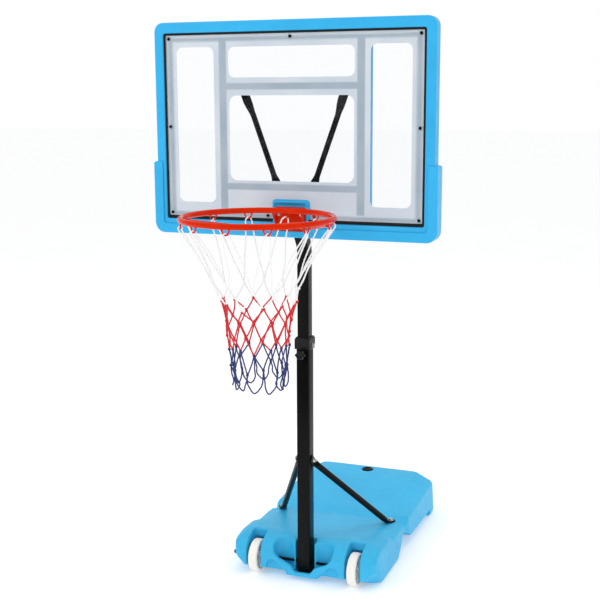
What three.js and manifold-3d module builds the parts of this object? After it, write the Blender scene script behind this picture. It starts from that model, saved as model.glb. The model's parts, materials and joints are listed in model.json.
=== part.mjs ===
// Portable poolside basketball hoop, millimetres, +Z up.
// The origin is on the floor under the pole's axis. +X is the viewer's right, +Y is the rear,
// and the ring is towards -Y.
import * as THREE from 'three';
import { mergeVertices } from 'three/addons/utils/BufferGeometryUtils.js';
import Module from 'manifold-3d';

const wasm = await Module();
wasm.setup();

// ---------------------------------------------------------------- driving dimensions

const FIT = 0.3; // clearance between pieces that touch
const BED = 0.2; // gap under a bolt's head or a nut

const base = {
  halfWidth: 229, // at the shoulder; the sides flare a little towards the floor
  frontY: -36,
  deckFront: 121,
  creaseY: 287,
  creaseZ: 95,
  rearY: 651,
  rearZ: 141,
  backY: 696,
  wall: 6,
};
// The sides are lifted off the floor between the front and rear halves.
const skirt = { outerX: 214, innerX: 190, notchZ: 60, lift: 26, footFront: 426, footRear: 449, rear: 604 };
const pocket = { halfWidth: 88, frontY: -21.5, backY: 24, floorZ: 20, scallopX: 62, scallopR: 34 };
const notchFloor = 26; // top of the low wall in front of the pole
const heel = { half: 28, frontY: -6, backY: 45, top: 12 }; // flat pad under the pole
const lip = { half: 52, bottom: 14, top: 40, backY: 20 }; // low middle of the front wall
const arch = { outerX: 117, topX: 94, innerX: 54, outerZ: 30, top: 57, innerZ: 26 };
const wheel = { x: 158, radius: 49.5, width: 30, wellGap: 8, slotBack: 34, boreR: 4.1, axleZ: 50 };
const axle = { radius: 4, end: 206 };
const axleCapSeat = { x: 231.4, length: 6, radius: 7 };
const filler = { y: 630, holeR: 15, capR: 19 };

const lower = { half: 20, wall: 1.5, bottom: 21, top: 740, plugDepth: 14 };
const upper = { half: 17.5, wall: 1.5, bottom: 402, bendZ: 1018, bendAngle: 35 };
const collar = { half: 23.5, bottom: 717, top: 752, boltZ: 726 };
const knob = { z: 704, radius: 17.5, lobes: 6, nutFlats: 14, nutThick: 7.4, gap: 8, depth: 14 };
const brace = {
  radius: 9.5,
  tabThin: 2.25,
  tabWide: 12.5,
  topZ: 376,
  footX: 186,
  footY: 282,
  padZ: 98,
  padR: 17,
};
const arm = { bendX: 43, bendZ: 1166, endX: 147, endZ: 1453, boltX: 154, boltZ: 1472, planeY: -70 };
const press = { radius: 8, thin: 3, length: 42, ease: 30 }; // where the arms' round part is pressed flat
const tab = { inner: 15, neck: 17, shoulder: 8, tip: 13, tipWidth: 0.6, corner: 0.45 }; // pressed tube ends
const armBolt = { y: -52, z: 1092 };

const board = {
  halfWidth: 408,
  bottom: 1067,
  top: 1649,
  frontY: -113,
  backY: -69,
  cornerR: 26,
  sheetHalfWidth: 375,
  sheetBottom: 1108,
  sheetTop: 1613,
  sheetFrontY: -107,
  sheetBackY: -104,
  ribBackY: -81,
  trim: 6,
  trimLow: 9,
  trimFrontY: -109.5,
};
// Openings behind the sheet: the two side windows and the centre column's windows.
const openings = { sideX: [229, 366], bottom: 1130, top: 1598, centreX: 194, plateX: 64, cornerR: 12 };
const crossRibs = { upper: [1454, 1490], lower: [1180, 1205], foot: 1120 };
const backPlate = { half: 45, bottom: 1072, top: 1148, thick: 3 };

const boss = { halfWidth: 52, top: 1158, lip: 6, faceY: -108 };
const guard = { grow: 10, lip: 28, top: 1262, frontY: -117, cornerR: 30 };

const rim = { y: -347, z: 1136, radius: 198, tubeR: 8, hooks: 12, hookWire: 2, braceAngle: -5 };
const bracket = { halfWidth: 44, bottom: 1075, top: 1142, thick: 4, boltX: 34, boltZ: [1088, 1122] };
const bolt = { shank: 3.9, small: 3.1, hole: 4.3, smallHole: 3.4, washer: 1.5, flats: 3.3 };
const screw = { headR: 4.4, shankR: 1.6, pilotR: 1.8, holeR: 2.2, length: 11 };
const net = { bottom: 676, thick: 4 };

const c = {
  frameBlue: 0x46bbf0,
  baseBlue: 0x58c0eb,
  red: 0xde370f,
  black: 0x1a1a1c,
  steel: 0xb9bcc0,
  white: 0xf1f0ec,
  sheet: 0xc3ccd6,
  rubber: 0x101012,
};

// ---------------------------------------------------------------- solids and meshes

// A closed surface as a solid, with its faces turned outward.
function toSolid(geometry) {
  const bare = geometry.index ? geometry.toNonIndexed() : geometry.clone();
  bare.deleteAttribute('normal');
  bare.deleteAttribute('uv');
  const welded = mergeVertices(bare, 1e-4);
  const vertProperties = Float32Array.from(welded.attributes.position.array);
  const index = welded.index.array;
  const build = (swap) => {
    const corners = [];
    for (let i = 0; i < index.length; i += 3) {
      const [a, b, c] = [index[i], index[i + 1], index[i + 2]];
      if (a !== b && b !== c && c !== a) corners.push(a, swap ? c : b, swap ? b : c);
    }
    const triVerts = Uint32Array.from(corners);
    return new wasm.Manifold(new wasm.Mesh({ numProp: 3, vertProperties, triVerts }));
  };
  const solid = build(false);
  return solid.volume() < 0 ? build(true) : solid;
}

function toGeometry(solid) {
  const mesh = solid.getMesh();
  const geometry = new THREE.BufferGeometry();
  geometry.setAttribute('position', new THREE.BufferAttribute(Float32Array.from(mesh.vertProperties), 3));
  geometry.setIndex(new THREE.BufferAttribute(Uint32Array.from(mesh.triVerts), 1));
  return geometry;
}

const join = (solids) => solids.reduce((sum, solid) => sum.add(solid));
const cut = (solid, cutters) => cutters.reduce((rest, cutter) => rest.subtract(cutter), solid);

function box(x0, x1, y0, y1, z0, z1) {
  const geometry = new THREE.BoxGeometry(x1 - x0, y1 - y0, z1 - z0);
  geometry.translate((x0 + x1) / 2, (y0 + y1) / 2, (z0 + z1) / 2);
  return toSolid(geometry);
}

// A round bar between two points.
function bar(from, to, radius, sides = 20) {
  const start = new THREE.Vector3(...from);
  const along = new THREE.Vector3(...to).sub(start);
  const geometry = new THREE.CylinderGeometry(radius, radius, along.length(), sides);
  const turn = new THREE.Quaternion().setFromUnitVectors(
    new THREE.Vector3(0, 1, 0), along.clone().normalize());
  geometry.applyQuaternion(turn);
  const middle = start.addScaledVector(along, 0.5);
  geometry.translate(middle.x, middle.y, middle.z);
  return toSolid(geometry);
}

// An outline in x and z, extruded along Y from y0 to y1.
function slabAlongY(outline, y0, y1) {
  const shape = outline instanceof THREE.Shape
    ? outline : new THREE.Shape(outline.map(([x, z]) => new THREE.Vector2(x, z)));
  const settings = { depth: y1 - y0, bevelEnabled: false, curveSegments: 5 };
  const geometry = new THREE.ExtrudeGeometry(shape, settings);
  geometry.rotateX(Math.PI / 2);
  geometry.translate(0, y1, 0);
  return toSolid(geometry);
}

// An outline in y and z, extruded along X from x0 to x1.
function slabAlongX(outline, x0, x1) {
  const shape = new THREE.Shape(outline.map(([y, z]) => new THREE.Vector2(y, z)));
  const geometry = new THREE.ExtrudeGeometry(shape, { depth: x1 - x0, bevelEnabled: false });
  geometry.applyMatrix4(new THREE.Matrix4().makeBasis(
    new THREE.Vector3(0, 1, 0), new THREE.Vector3(0, 0, 1), new THREE.Vector3(1, 0, 0)));
  geometry.translate(x0, 0, 0);
  return toSolid(geometry);
}

function roundedRect(x0, x1, z0, z1, radius) {
  const shape = new THREE.Shape();
  shape.moveTo(x0 + radius, z0);
  shape.lineTo(x1 - radius, z0);
  shape.absarc(x1 - radius, z0 + radius, radius, -Math.PI / 2, 0);
  shape.lineTo(x1, z1 - radius);
  shape.absarc(x1 - radius, z1 - radius, radius, 0, Math.PI / 2);
  shape.lineTo(x0 + radius, z1);
  shape.absarc(x0 + radius, z1 - radius, radius, Math.PI / 2, Math.PI);
  shape.lineTo(x0, z0 + radius);
  shape.absarc(x0 + radius, z0 + radius, radius, Math.PI, Math.PI * 1.5);
  return shape;
}

// A closed skin over loops of equal length, capped at both ends.
function loft(loops) {
  const count = loops[0].length;
  const positions = loops.flat().flatMap((point) => [point.x, point.y, point.z]);
  const index = [];
  for (let s = 0; s < loops.length - 1; s += 1) {
    for (let i = 0; i < count; i += 1) {
      const j = (i + 1) % count;
      const [a, b] = [s * count + i, s * count + j];
      const [c, d] = [a + count, b + count];
      index.push(a, b, d, a, d, c);
    }
  }
  const last = (loops.length - 1) * count;
  for (let i = 1; i < count - 1; i += 1) {
    index.push(0, i + 1, i);
    index.push(last, last + i, last + i + 1);
  }
  const geometry = new THREE.BufferGeometry();
  geometry.setAttribute('position', new THREE.Float32BufferAttribute(positions, 3));
  geometry.setIndex(index);
  return toSolid(geometry);
}

// A solid of revolution about Z from [radius, height] points that start and end on the axis or close.
function turned(profile, segments = 36) {
  const points = profile.map(([radius, height]) => new THREE.Vector2(radius, height));
  const geometry = new THREE.LatheGeometry(points, segments);
  geometry.rotateX(Math.PI / 2);
  return toSolid(geometry);
}

function mirrored(solid) {
  const geometry = toGeometry(solid);
  geometry.scale(-1, 1, 1);
  return toSolid(geometry);
}

function hexPrism(from, to, acrossFlats) {
  return bar(from, to, acrossFlats / Math.sqrt(3), 6);
}

const group = new THREE.Group();
const finishes = {
  paint: [0.45, 0.2],
  gloss: [0.28, 0.2],
  steel: [0.3, 1],
  plastic: [0.5, 0],
  clear: [0.2, 0],
  cord: [0.9, 0],
};

function addPart(name, solid, colour, finish) {
  const [roughness, metalness] = finishes[finish];
  const material = new THREE.MeshStandardMaterial({ color: colour, roughness, metalness });
  const mesh = new THREE.Mesh(toGeometry(solid), material);
  mesh.name = name;
  group.add(mesh);
}

// ---------------------------------------------------------------- base tank

// Half section of the tank at one place along Y, mirrored into a closed loop.
function tankLoop(station, inset = 0) {
  const { y, width, shoulder, inner, top, bottom = 0, chine = 8 } = station;
  const flare = bottom > 5 ? 0 : 5;
  const half = [
    [width + flare - chine - inset, bottom + inset],
    [width + flare - inset, bottom + chine + inset],
    [width - inset, shoulder - inset * 0.4],
    [width - 7 - inset, shoulder + 9 - inset * 0.8],
    [inner, top - inset],
    [inner - 22, top + 1 - inset],
  ];
  const right = half.map(([x, z]) => new THREE.Vector3(x, y, z));
  const left = half.map(([x, z]) => new THREE.Vector3(-x, y, z)).reverse();
  return [...right, ...left].reverse();
}

function tankStations() {
  const { halfWidth, creaseY, creaseZ, rearY, rearZ, backY } = base;
  const front = base.frontY;
  const deck = base.deckFront;
  return [
    { y: front, width: halfWidth - 20, shoulder: 62, inner: 186, top: 78, bottom: 27, chine: 22 },
    { y: front + 7, width: halfWidth - 10, shoulder: 76, inner: 192, top: 94, bottom: 25, chine: 28 },
    { y: front + 22, width: halfWidth - 2, shoulder: 89, inner: 196, top: 108, bottom: 19, chine: 32 },
    { y: front + 31, width: halfWidth, shoulder: 94, inner: 198, top: 113, bottom: 14, chine: 32 },
    { y: 18, width: halfWidth, shoulder: 100, inner: 200, top: deck - 2, bottom: 5, chine: 22 },
    { y: 40, width: halfWidth, shoulder: 103, inner: 200, top: deck },
    { y: 112, width: halfWidth, shoulder: 101, inner: 200, top: 115 },
    { y: 136, width: halfWidth, shoulder: 93, inner: 196, top: 112 },
    { y: 165, width: halfWidth, shoulder: 85, inner: 192, top: 109 },
    { y: 246, width: halfWidth, shoulder: 84, inner: 188, top: creaseZ + 4 },
    { y: creaseY - 7, width: halfWidth - 1, shoulder: 83, inner: 182, top: creaseZ + 1 },
    { y: creaseY + 9, width: halfWidth - 5, shoulder: 72, inner: 178, top: creaseZ },
    { y: creaseY + 31, width: halfWidth - 5, shoulder: 73, inner: 174, top: creaseZ + 5 },
    { y: creaseY + 56, width: halfWidth, shoulder: 90, inner: 174, top: creaseZ + 11 },
    { y: 426, width: halfWidth + 1, shoulder: 96, inner: 174, top: 117 },
    { y: 540, width: halfWidth + 2, shoulder: 101, inner: 174, top: 132 },
    { y: rearY - 40, width: halfWidth + 2, shoulder: 106, inner: 173, top: rearZ - 2 },
    { y: rearY, width: halfWidth + 1, shoulder: 107, inner: 171, top: rearZ },
    { y: rearY + 22, width: halfWidth - 3, shoulder: 100, inner: 166, top: rearZ - 6 },
    { y: backY - 10, width: halfWidth - 9, shoulder: 90, inner: 160, top: rearZ - 22, bottom: 2 },
    { y: backY, width: halfWidth - 18, shoulder: 78, inner: 154, top: rearZ - 42, bottom: 12 },
  ];
}

// The room round each wheel: a round well about the axle and a slot that is open at the top and front.
function wheelWell(side) {
  const half = wheel.width / 2 + wheel.wellGap;
  const [x0, x1] = [side * wheel.x - half, side * wheel.x + half];
  const radius = wheel.radius + wheel.wellGap;
  return join([
    bar([x0, 0, wheel.axleZ], [x1, 0, wheel.axleZ], radius, 40),
    box(x0, x1, base.frontY - 10, wheel.slotBack, wheel.axleZ, base.deckFront + 10),
    box(x0, x1, base.frontY - 10, 0, -10, wheel.axleZ + 1),
  ]);
}

// The pocket for the pole's foot: a box for the pole and two round scallops at its sides.
function polePocket() {
  const height = base.deckFront + 10;
  const low = pocket.floorZ + 8;
  const y = pocket.frontY - 5;
  const room = box(-120, 120, pocket.frontY, 60, 0, height + 5);
  const scallop = (x) => bar([x, y, low], [x, y, height], pocket.scallopR, 28).intersect(room);
  return join([
    box(-30, 30, pocket.frontY, pocket.backY, pocket.floorZ, height),
    box(-pocket.halfWidth, pocket.halfWidth, pocket.frontY, -8, low, height),
    scallop(pocket.scallopX),
    scallop(-pocket.scallopX),
  ]);
}

// The notch above the pocket's front wall, wide at the deck and narrow at the pole's foot.
function frontNotch() {
  const half = [[24, notchFloor], [38, 46], [78, 63], [92, 80], [100, base.deckFront + 10]];
  const left = half.map(([x, z]) => [-x, z]).reverse();
  return slabAlongY([...half, ...left], base.frontY - 10, pocket.frontY + 1);
}

// The scooped recess under each side of the notch: steep outside, sloping down to the lip inside.
function frontArch(side) {
  const { outerX, topX, innerX, outerZ, top, innerZ } = arch;
  const shape = new THREE.Shape();
  shape.moveTo(side * outerX, -5);
  shape.lineTo(side * outerX, outerZ);
  shape.bezierCurveTo(side * outerX, top - 8, side * (topX + 14), top, side * topX, top);
  shape.bezierCurveTo(side * (topX - 14), top, side * (innerX + 18), innerZ + 8, side * innerX, innerZ);
  shape.lineTo(side * innerX, -5);
  return slabAlongY(shape, base.frontY - 10, pocket.frontY - 3.5);
}

// The room under one side: a vee at the crease, then a low gap back to the rear foot, with a
// short inner foot left standing behind the vee.
function sideGap(side) {
  const { outerX, innerX, notchZ, lift, footFront, footRear, rear } = skirt;
  const reach = (inner, outer) => (side > 0 ? [inner, outer] : [-outer, -inner]);
  const { creaseY: y } = base;
  const vee = [[y - 80, -5], [y - 80, 0], [y - 9, notchZ], [y + 7, notchZ], [y + 86, lift]];
  const outerGap = [...vee, [rear, lift], [rear + 12, -5]];
  const innerGap = [...vee, [footFront, lift], [footFront, -5]];
  return join([
    slabAlongX(outerGap, ...reach(outerX, base.halfWidth + 30)),
    slabAlongX(innerGap, ...reach(innerX, outerX + 1)),
    box(...reach(innerX, outerX + 1), footRear, rear, -5, lift),
  ]);
}

function bracePad(side) {
  const x = side * brace.footX;
  return bar([x, brace.footY, skirt.notchZ + 4], [x, brace.footY, brace.padZ], brace.padR, 24);
}

function baseTank() {
  const stations = tankStations();
  const outer = loft(stations.map((station) => tankLoop(station)));
  const inside = stations.filter((station) => station.y > 110 && station.y < base.backY - 15);
  const sides = [1, -1];
  const [above, below, beside] = [base.rearZ + 20, skirt.notchZ, 260];
  const upright = (x, y, z, radius, count) => bar([x, y, z], [x, y, above], radius, count);
  const clear = skirt.innerX - base.wall;
  const overGap = (x0, x1) => box(
    x0, x1, base.creaseY - 100, skirt.rear + 20, -5, skirt.notchZ + base.wall);
  const cavity = cut(loft(inside.map((station) => tankLoop(station, base.wall))), [
    ...sides.map((side) => upright(side * brace.footX, brace.footY, 0, brace.padR - 5, 16)),
    overGap(clear, beside),
    overGap(-beside, -clear),
  ]);
  const pad = box(-heel.half, heel.half, heel.frontY, heel.backY, 0, heel.top);
  const lowWall = box(-lip.half, lip.half, base.frontY, lip.backY, lip.bottom, lip.top);
  return cut(join([outer, pad, lowWall, ...sides.map(bracePad)]), [
    ...sides.map(wheelWell),
    polePocket(),
    frontNotch(),
    ...sides.map(frontArch),
    ...sides.map(sideGap),
    cavity,
    upright(0, filler.y, below, filler.holeR + 2 * FIT, 32),
    upright(0, filler.y, base.rearZ - 5, filler.capR + 3, 32),
    bar([-beside, 0, wheel.axleZ], [axle.end + 1, 0, wheel.axleZ], axle.radius + FIT, 16),
    ...sides.map((side) => upright(side * brace.footX, brace.footY, below + 8, bolt.hole, 16)),
  ]);
}

// ---------------------------------------------------------------- wheels, axle and cap

function wheelSolid(side) {
  const half = wheel.width / 2;
  const profile = [
    [wheel.boreR, -half],
    [12, -half],
    [14, -half + 4],
    [35, -half + 4],
    [37, -half + 1],
    [wheel.radius - 4, -half + 1],
    [wheel.radius - 1, -half + 4],
    [wheel.radius, 0],
    [wheel.radius - 1, half - 4],
    [wheel.radius - 4, half - 1],
    [37, half - 1],
    [35, half - 4],
    [14, half - 4],
    [12, half],
    [wheel.boreR, half],
    [wheel.boreR, -half],
  ];
  const geometry = toGeometry(turned(profile, 32));
  geometry.rotateY(Math.PI / 2);
  geometry.translate(side * wheel.x, 0, wheel.axleZ);
  return toSolid(geometry);
}

// The push-on cap that keeps the axle in, on the left side of the tank.
function axleCap() {
  const { x, length, radius } = axleCapSeat;
  const solid = bar([-x, 0, wheel.axleZ], [-x - length, 0, wheel.axleZ], radius, 20);
  const bore = bar([-x + 1, 0, wheel.axleZ], [-x - length + 2, 0, wheel.axleZ], axle.radius + 0.1, 16);
  return solid.subtract(bore);
}

function fillerCap() {
  const top = base.rearZ + 1;
  const disc = turned([
    [0, top - 18],
    [filler.holeR - 1, top - 18],
    [filler.holeR, top - 16],
    [filler.holeR, top - 5.6],
    [filler.capR, top - 5.6],
    [filler.capR, top - 1],
    [filler.capR - 1, top],
    [13, top],
    [12, top - 3],
    [0, top - 3],
  ], 32);
  const grip = box(-11.8, 11.8, -2.2, 2.2, top - 4, top - 0.4);
  const geometry = toGeometry(disc.add(grip));
  geometry.translate(0, filler.y, 0);
  return toSolid(geometry);
}

// ---------------------------------------------------------------- tubes

function lowerTube() {
  const outer = box(-lower.half, lower.half, -lower.half, lower.half, lower.bottom, lower.top);
  const inner = lower.half - lower.wall;
  return cut(outer, [
    box(-inner, inner, -inner, inner, lower.bottom - 1, lower.top + 1),
    bar([-30, 0, wheel.axleZ], [30, 0, wheel.axleZ], axle.radius + FIT, 16),
    bar([-30, 0, brace.topZ], [30, 0, brace.topZ], bolt.hole, 16),
    bar([0, 0, knob.z], [0, -30, knob.z], bolt.hole, 16),
    bar([0, 0, collar.boltZ], [30, 0, collar.boltZ], bolt.hole, 16),
  ]);
}

function footPlug() {
  const { half, wall, bottom, plugDepth } = lower;
  const inner = half - wall - BED;
  const sole = box(-half, half, -half, half, pocket.floorZ + BED, bottom - BED);
  return sole.add(box(-inner, inner, -inner, inner, bottom - 2 * BED, bottom + plugDepth));
}

// The upper tube runs straight up, bends forward and ends against the plate that carries the board.
function upperTube() {
  const angle = THREE.MathUtils.degToRad(upper.bendAngle);
  const plateBack = board.ribBackY + FIT + backPlate.thick;
  const bendZ = (across) => upper.bendZ + across * Math.tan(angle / 2);
  const endZ = (across) => bendZ(across) + (across - plateBack) / Math.tan(angle);
  const skin = (half, extra) => {
    const corners = [[-half, -half], [half, -half], [half, half], [-half, half]];
    return loft([
      corners.map(([x, across]) => new THREE.Vector3(x, across, upper.bottom - extra)),
      corners.map(([x, across]) => new THREE.Vector3(x, across, bendZ(across))),
      corners.map(([x, across]) => new THREE.Vector3(x, plateBack - extra, endZ(across))),
    ]);
  };
  const hollow = skin(upper.half, 0).subtract(skin(upper.half - upper.wall, 1));
  const { half, bottom, top, thick } = backPlate;
  const plate = slabAlongY(roundedRect(-half, half, bottom, top, 6), plateBack - thick, plateBack);
  const boltHoles = rimBoltPlaces().map(([x, z]) => bar([x, -120, z], [x, -60, z], bolt.smallHole, 16));
  return cut(join([hollow, plate]), [
    ...boltHoles,
    bar([-30, armBolt.y, armBolt.z], [30, armBolt.y, armBolt.z], bolt.hole, 16),
  ]);
}

function heightCollar() {
  const { half, bottom, top } = collar;
  const sleeve = lower.half + BED;
  const guide = upper.half + FIT;
  const outer = box(-half, half, -half, half, bottom, top - 4)
    .add(box(-half + 2, half - 2, -half + 2, half - 2, top - 5, top));
  return cut(outer, [
    box(-sleeve, sleeve, -sleeve, sleeve, bottom - 1, lower.top + BED),
    box(-guide, guide, -guide, guide, bottom, top + 1),
    bar([0, 0, collar.boltZ], [40, 0, collar.boltZ], bolt.hole, 16),
  ]);
}

// ---------------------------------------------------------------- flattened-end tubes

function ovalLoop({ at, along, thinUp, wide, thin, square }) {
  const axis = new THREE.Vector3(...along).normalize();
  const up = new THREE.Vector3(...thinUp);
  up.addScaledVector(axis, -axis.dot(up)).normalize();
  const across = new THREE.Vector3().crossVectors(axis, up);
  const soften = square ? tab.corner : 1;
  const shape = (value) => Math.sign(value) * Math.abs(value) ** soften;
  const loop = [];
  const sides = 14;
  for (let i = 0; i < sides; i += 1) {
    const turn = ((i + 0.5) / sides) * 2 * Math.PI;
    loop.push(new THREE.Vector3(...at)
      .addScaledVector(across, wide * shape(Math.cos(turn)))
      .addScaledVector(up, thin * shape(Math.sin(turn))));
  }
  return loop;
}

function flatEndTube(stations) {
  return loft(stations.map(ovalLoop));
}

const step = (from, along, distance) => from.map((value, i) => value + along[i] * distance);

function direction(from, to) {
  return new THREE.Vector3(...to).sub(new THREE.Vector3(...from)).normalize().toArray();
}

// A tube whose two ends are pressed flat and bent into tabs for bolts.
function tabbedTube(top, foot) {
  const { radius, tabWide: wide, tabThin: thin } = brace;
  const topIn = step(top.bolt, top.along, tab.inner);
  const footIn = step(foot.bolt, foot.along, -tab.inner);
  const run = direction(topIn, footIn);
  const flat = (at, end, half) => (
    { at, along: end.along, thinUp: end.thinUp, wide: half, thin, square: true });
  const first = new THREE.Vector3(...step(topIn, run, tab.neck));
  const last = new THREE.Vector3(...step(footIn, run, -tab.neck));
  const round = (share) => ({
    at: first.clone().lerp(last, share).toArray(),
    along: run,
    thinUp: new THREE.Vector3(...top.thinUp).lerp(new THREE.Vector3(...foot.thinUp), share).toArray(),
    wide: radius,
    thin: radius,
    square: false,
  });
  return flatEndTube([
    flat(step(top.bolt, top.along, -tab.tip), top, wide * tab.tipWidth),
    flat(step(top.bolt, top.along, -tab.shoulder), top, wide),
    flat(topIn, top, wide),
    ...[0, 0.25, 0.5, 0.75, 1].map(round),
    flat(footIn, foot, wide),
    flat(step(foot.bolt, foot.along, tab.shoulder), foot, wide),
    flat(step(foot.bolt, foot.along, tab.tip), foot, wide * tab.tipWidth),
  ]);
}

function rightBrace() {
  const top = {
    bolt: [lower.half + FIT + brace.tabThin, 0, brace.topZ],
    along: [0, 0.727, -0.686],
    thinUp: [-1, 0, 0],
  };
  const foot = {
    bolt: [brace.footX, brace.footY, brace.padZ + FIT + brace.tabThin],
    along: [0.494, 0.869, 0],
    thinUp: [0, 0, -1],
  };
  const tube = tabbedTube(top, foot);
  return cut(tube, [
    bar([10, 0, brace.topZ], [40, 0, brace.topZ], bolt.hole, 16),
    bar([brace.footX, brace.footY, 80], [brace.footX, brace.footY, 120], bolt.hole, 16),
  ]);
}

// Each arm starts as a tab on the pole's side, turns flat behind the board, runs up as a round tube
// and ends pressed flat on the frame.
function rightArm() {
  const { tabWide: wide, tabThin: thin } = brace;
  const low = upper.half + FIT + thin;
  const tabY = board.ribBackY + FIT + thin;
  const bend = [arm.bendX, arm.planeY, arm.bendZ];
  const run = direction(bend, [arm.endX, arm.planeY, arm.endZ]);
  const lean = [0, -0.13, 0.99];
  const rear = [0, 1, 0];
  const foot = [low, armBolt.y, armBolt.z];
  const topBolt = [arm.boltX, tabY, arm.boltZ];
  const section = (at, along, acrossY, acrossX, square) => (
    { at, along, thinUp: [-1, 0, 0], wide: acrossY, thin: acrossX, square });
  const side = (away, half) => section(step(foot, lean, away), lean, half, thin, true);
  const pressed = (away) => section(step(bend, run, away), run, press.thin, wide, true);
  const back = (away, half) => section(step(topBolt, run, away), run, thin, half, true);
  const round = (from, away) => section(step(from, run, away), run, press.radius, press.radius, false);
  const start = press.length + press.ease;
  const tube = flatEndTube([
    side(-tab.tip, wide * tab.tipWidth),
    side(-tab.shoulder, wide),
    side(tab.inner, wide),
    pressed(0),
    pressed(press.length),
    round(bend, start),
    round([arm.endX, arm.planeY, arm.endZ], -start),
    back(-press.length, wide),
    back(tab.shoulder, wide),
    back(tab.tip, wide * tab.tipWidth),
  ]);
  return cut(tube, [
    bar([10, armBolt.y, armBolt.z], [40, armBolt.y, armBolt.z], bolt.hole, 16),
    bar(step(topBolt, rear, -10), step(topBolt, rear, 10), bolt.smallHole, 16),
  ]);
}

// ---------------------------------------------------------------- fasteners

// A hex bolt from its head's seat along a unit direction, with an optional washer under the head.
function hexBolt(seat, along, length, shankR, washerR = 0) {
  const back = along.map((value) => -value);
  const headFlats = shankR * bolt.flats;
  const headBase = washerR ? step(seat, back, bolt.washer) : seat;
  const pieces = [
    bar(step(seat, back, 2), step(seat, along, length), shankR, 16),
    hexPrism(headBase, step(headBase, back, shankR * 1.35), headFlats),
  ];
  if (washerR) pieces.push(bar(seat, step(seat, back, bolt.washer), washerR, 24));
  return join(pieces);
}

function hexNut(seat, along, shankR) {
  const nut = hexPrism(seat, step(seat, along, shankR * 1.6), shankR * bolt.flats);
  return nut.subtract(bar(step(seat, along, -2), step(seat, along, shankR * 3), shankR + 0.1, 16));
}

// A lobed thumb knob whose threaded stud presses on the upper tube.
function heightKnob() {
  const outline = [];
  const steps = 48;
  const ripple = 2;
  for (let i = 0; i < steps; i += 1) {
    const turn = (i / steps) * 2 * Math.PI;
    const radius = knob.radius - ripple + ripple * Math.cos(knob.lobes * turn);
    outline.push([radius * Math.cos(turn), knob.z + radius * Math.sin(turn)]);
  }
  const face = -lower.half - knob.gap;
  const front = face - 4 - knob.depth;
  const round = (y0, y1, radius) => bar([0, y0, knob.z], [0, y1, knob.z], radius, 24);
  return join([
    slabAlongY(outline, front, front + knob.depth),
    round(face - 5, face, 10),
    round(front - 2, front + 1, 9),
    round(face - 1, -upper.half - 0.4, bolt.shank),
  ]);
}

function knobNut() {
  const front = -lower.half - BED;
  const along = (y) => [0, y, knob.z];
  const nut = hexPrism(along(front), along(front - knob.nutThick), knob.nutFlats);
  return nut.subtract(bar(along(front + 5), along(front - 12), bolt.shank + BED, 16));
}

// ---------------------------------------------------------------- board

function boardFrame() {
  const { halfWidth, bottom, top, frontY, backY, ribBackY, sheetBackY, trim, trimLow } = board;
  const { sideX: [sideLow, sideHigh], centreX, plateX, cornerR } = openings;
  const outline = roundedRect(-halfWidth, halfWidth, bottom, top, board.cornerR);
  const outer = slabAlongY(outline, frontY, backY);
  const recessHalf = board.sheetHalfWidth + trim + FIT;
  const [recessLow, recessHigh] = [board.sheetBottom - trimLow - FIT, board.sheetTop + trim + FIT];
  const recess = slabAlongY(
    roundedRect(-recessHalf, recessHalf, recessLow, recessHigh, 4), frontY - 1, sheetBackY);
  const opening = (x0, x1, z0, z1) => slabAlongY(
    roundedRect(x0, x1, z0, z1, cornerR), frontY - 2, backY + 1);
  const ribBack = slabAlongY(
    roundedRect(-sideHigh, sideHigh, openings.bottom - 12, openings.top + 2, cornerR),
    ribBackY, backY + 1);
  const plateRoom = box(-60, 60, ribBackY, backY + 1, bottom - 1, crossRibs.lower[0] + 10);
  const bossBlock = slabAlongY(
    roundedRect(-boss.halfWidth, boss.halfWidth, bottom + 10, boss.top, 6), frontY - 1, ribBackY);
  const faceHalf = boss.halfWidth - boss.lip;
  const bossFace = slabAlongY(
    roundedRect(-faceHalf, faceHalf, bottom + 1, boss.top - boss.lip, 4), frontY - 5, boss.faceY);
  const body = cut(outer, [
    recess,
    opening(-sideHigh, -sideLow, openings.bottom, openings.top),
    opening(sideLow, sideHigh, openings.bottom, openings.top),
    opening(-centreX, centreX, crossRibs.upper[1], openings.top),
    opening(-centreX, centreX, crossRibs.lower[1], crossRibs.upper[0]),
    opening(-centreX, -plateX, crossRibs.foot, crossRibs.lower[0]),
    opening(plateX, centreX, crossRibs.foot, crossRibs.lower[0]),
    ribBack,
    plateRoom,
  ]);
  const armHoles = [-arm.boltX, arm.boltX].map((x) => bar(
    [x, ribBackY + 5, arm.boltZ], [x, ribBackY - 14, arm.boltZ], bolt.smallHole, 16));
  return cut(join([body, bossBlock]), [
    bossFace,
    ...rimBoltPlaces().map(([x, z]) => bar([x, frontY - 5, z], [x, backY, z], bolt.smallHole, 16)),
    ...screwPlaces().map(([x, z]) => bar(
      [x, sheetBackY - 8, z], [x, sheetBackY + 9, z], screw.pilotR, 10)),
    ...armHoles,
  ]);
}

function boardSheet() {
  const { sheetHalfWidth: half, sheetBottom, sheetTop, sheetFrontY, sheetBackY } = board;
  const outline = roundedRect(-half, half, sheetBottom, sheetTop, 4);
  const plate = slabAlongY(outline, sheetFrontY, sheetBackY - FIT);
  const notch = boss.halfWidth + 1;
  return cut(plate, [
    box(-notch, notch, sheetFrontY - 5, sheetBackY + 5, sheetBottom - 20, boss.top + 1),
    ...screwPlaces().map(([x, z]) => bar(
      [x, sheetFrontY - 5, z], [x, sheetBackY + 5, z], screw.holeR, 12)),
  ]);
}

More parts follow.
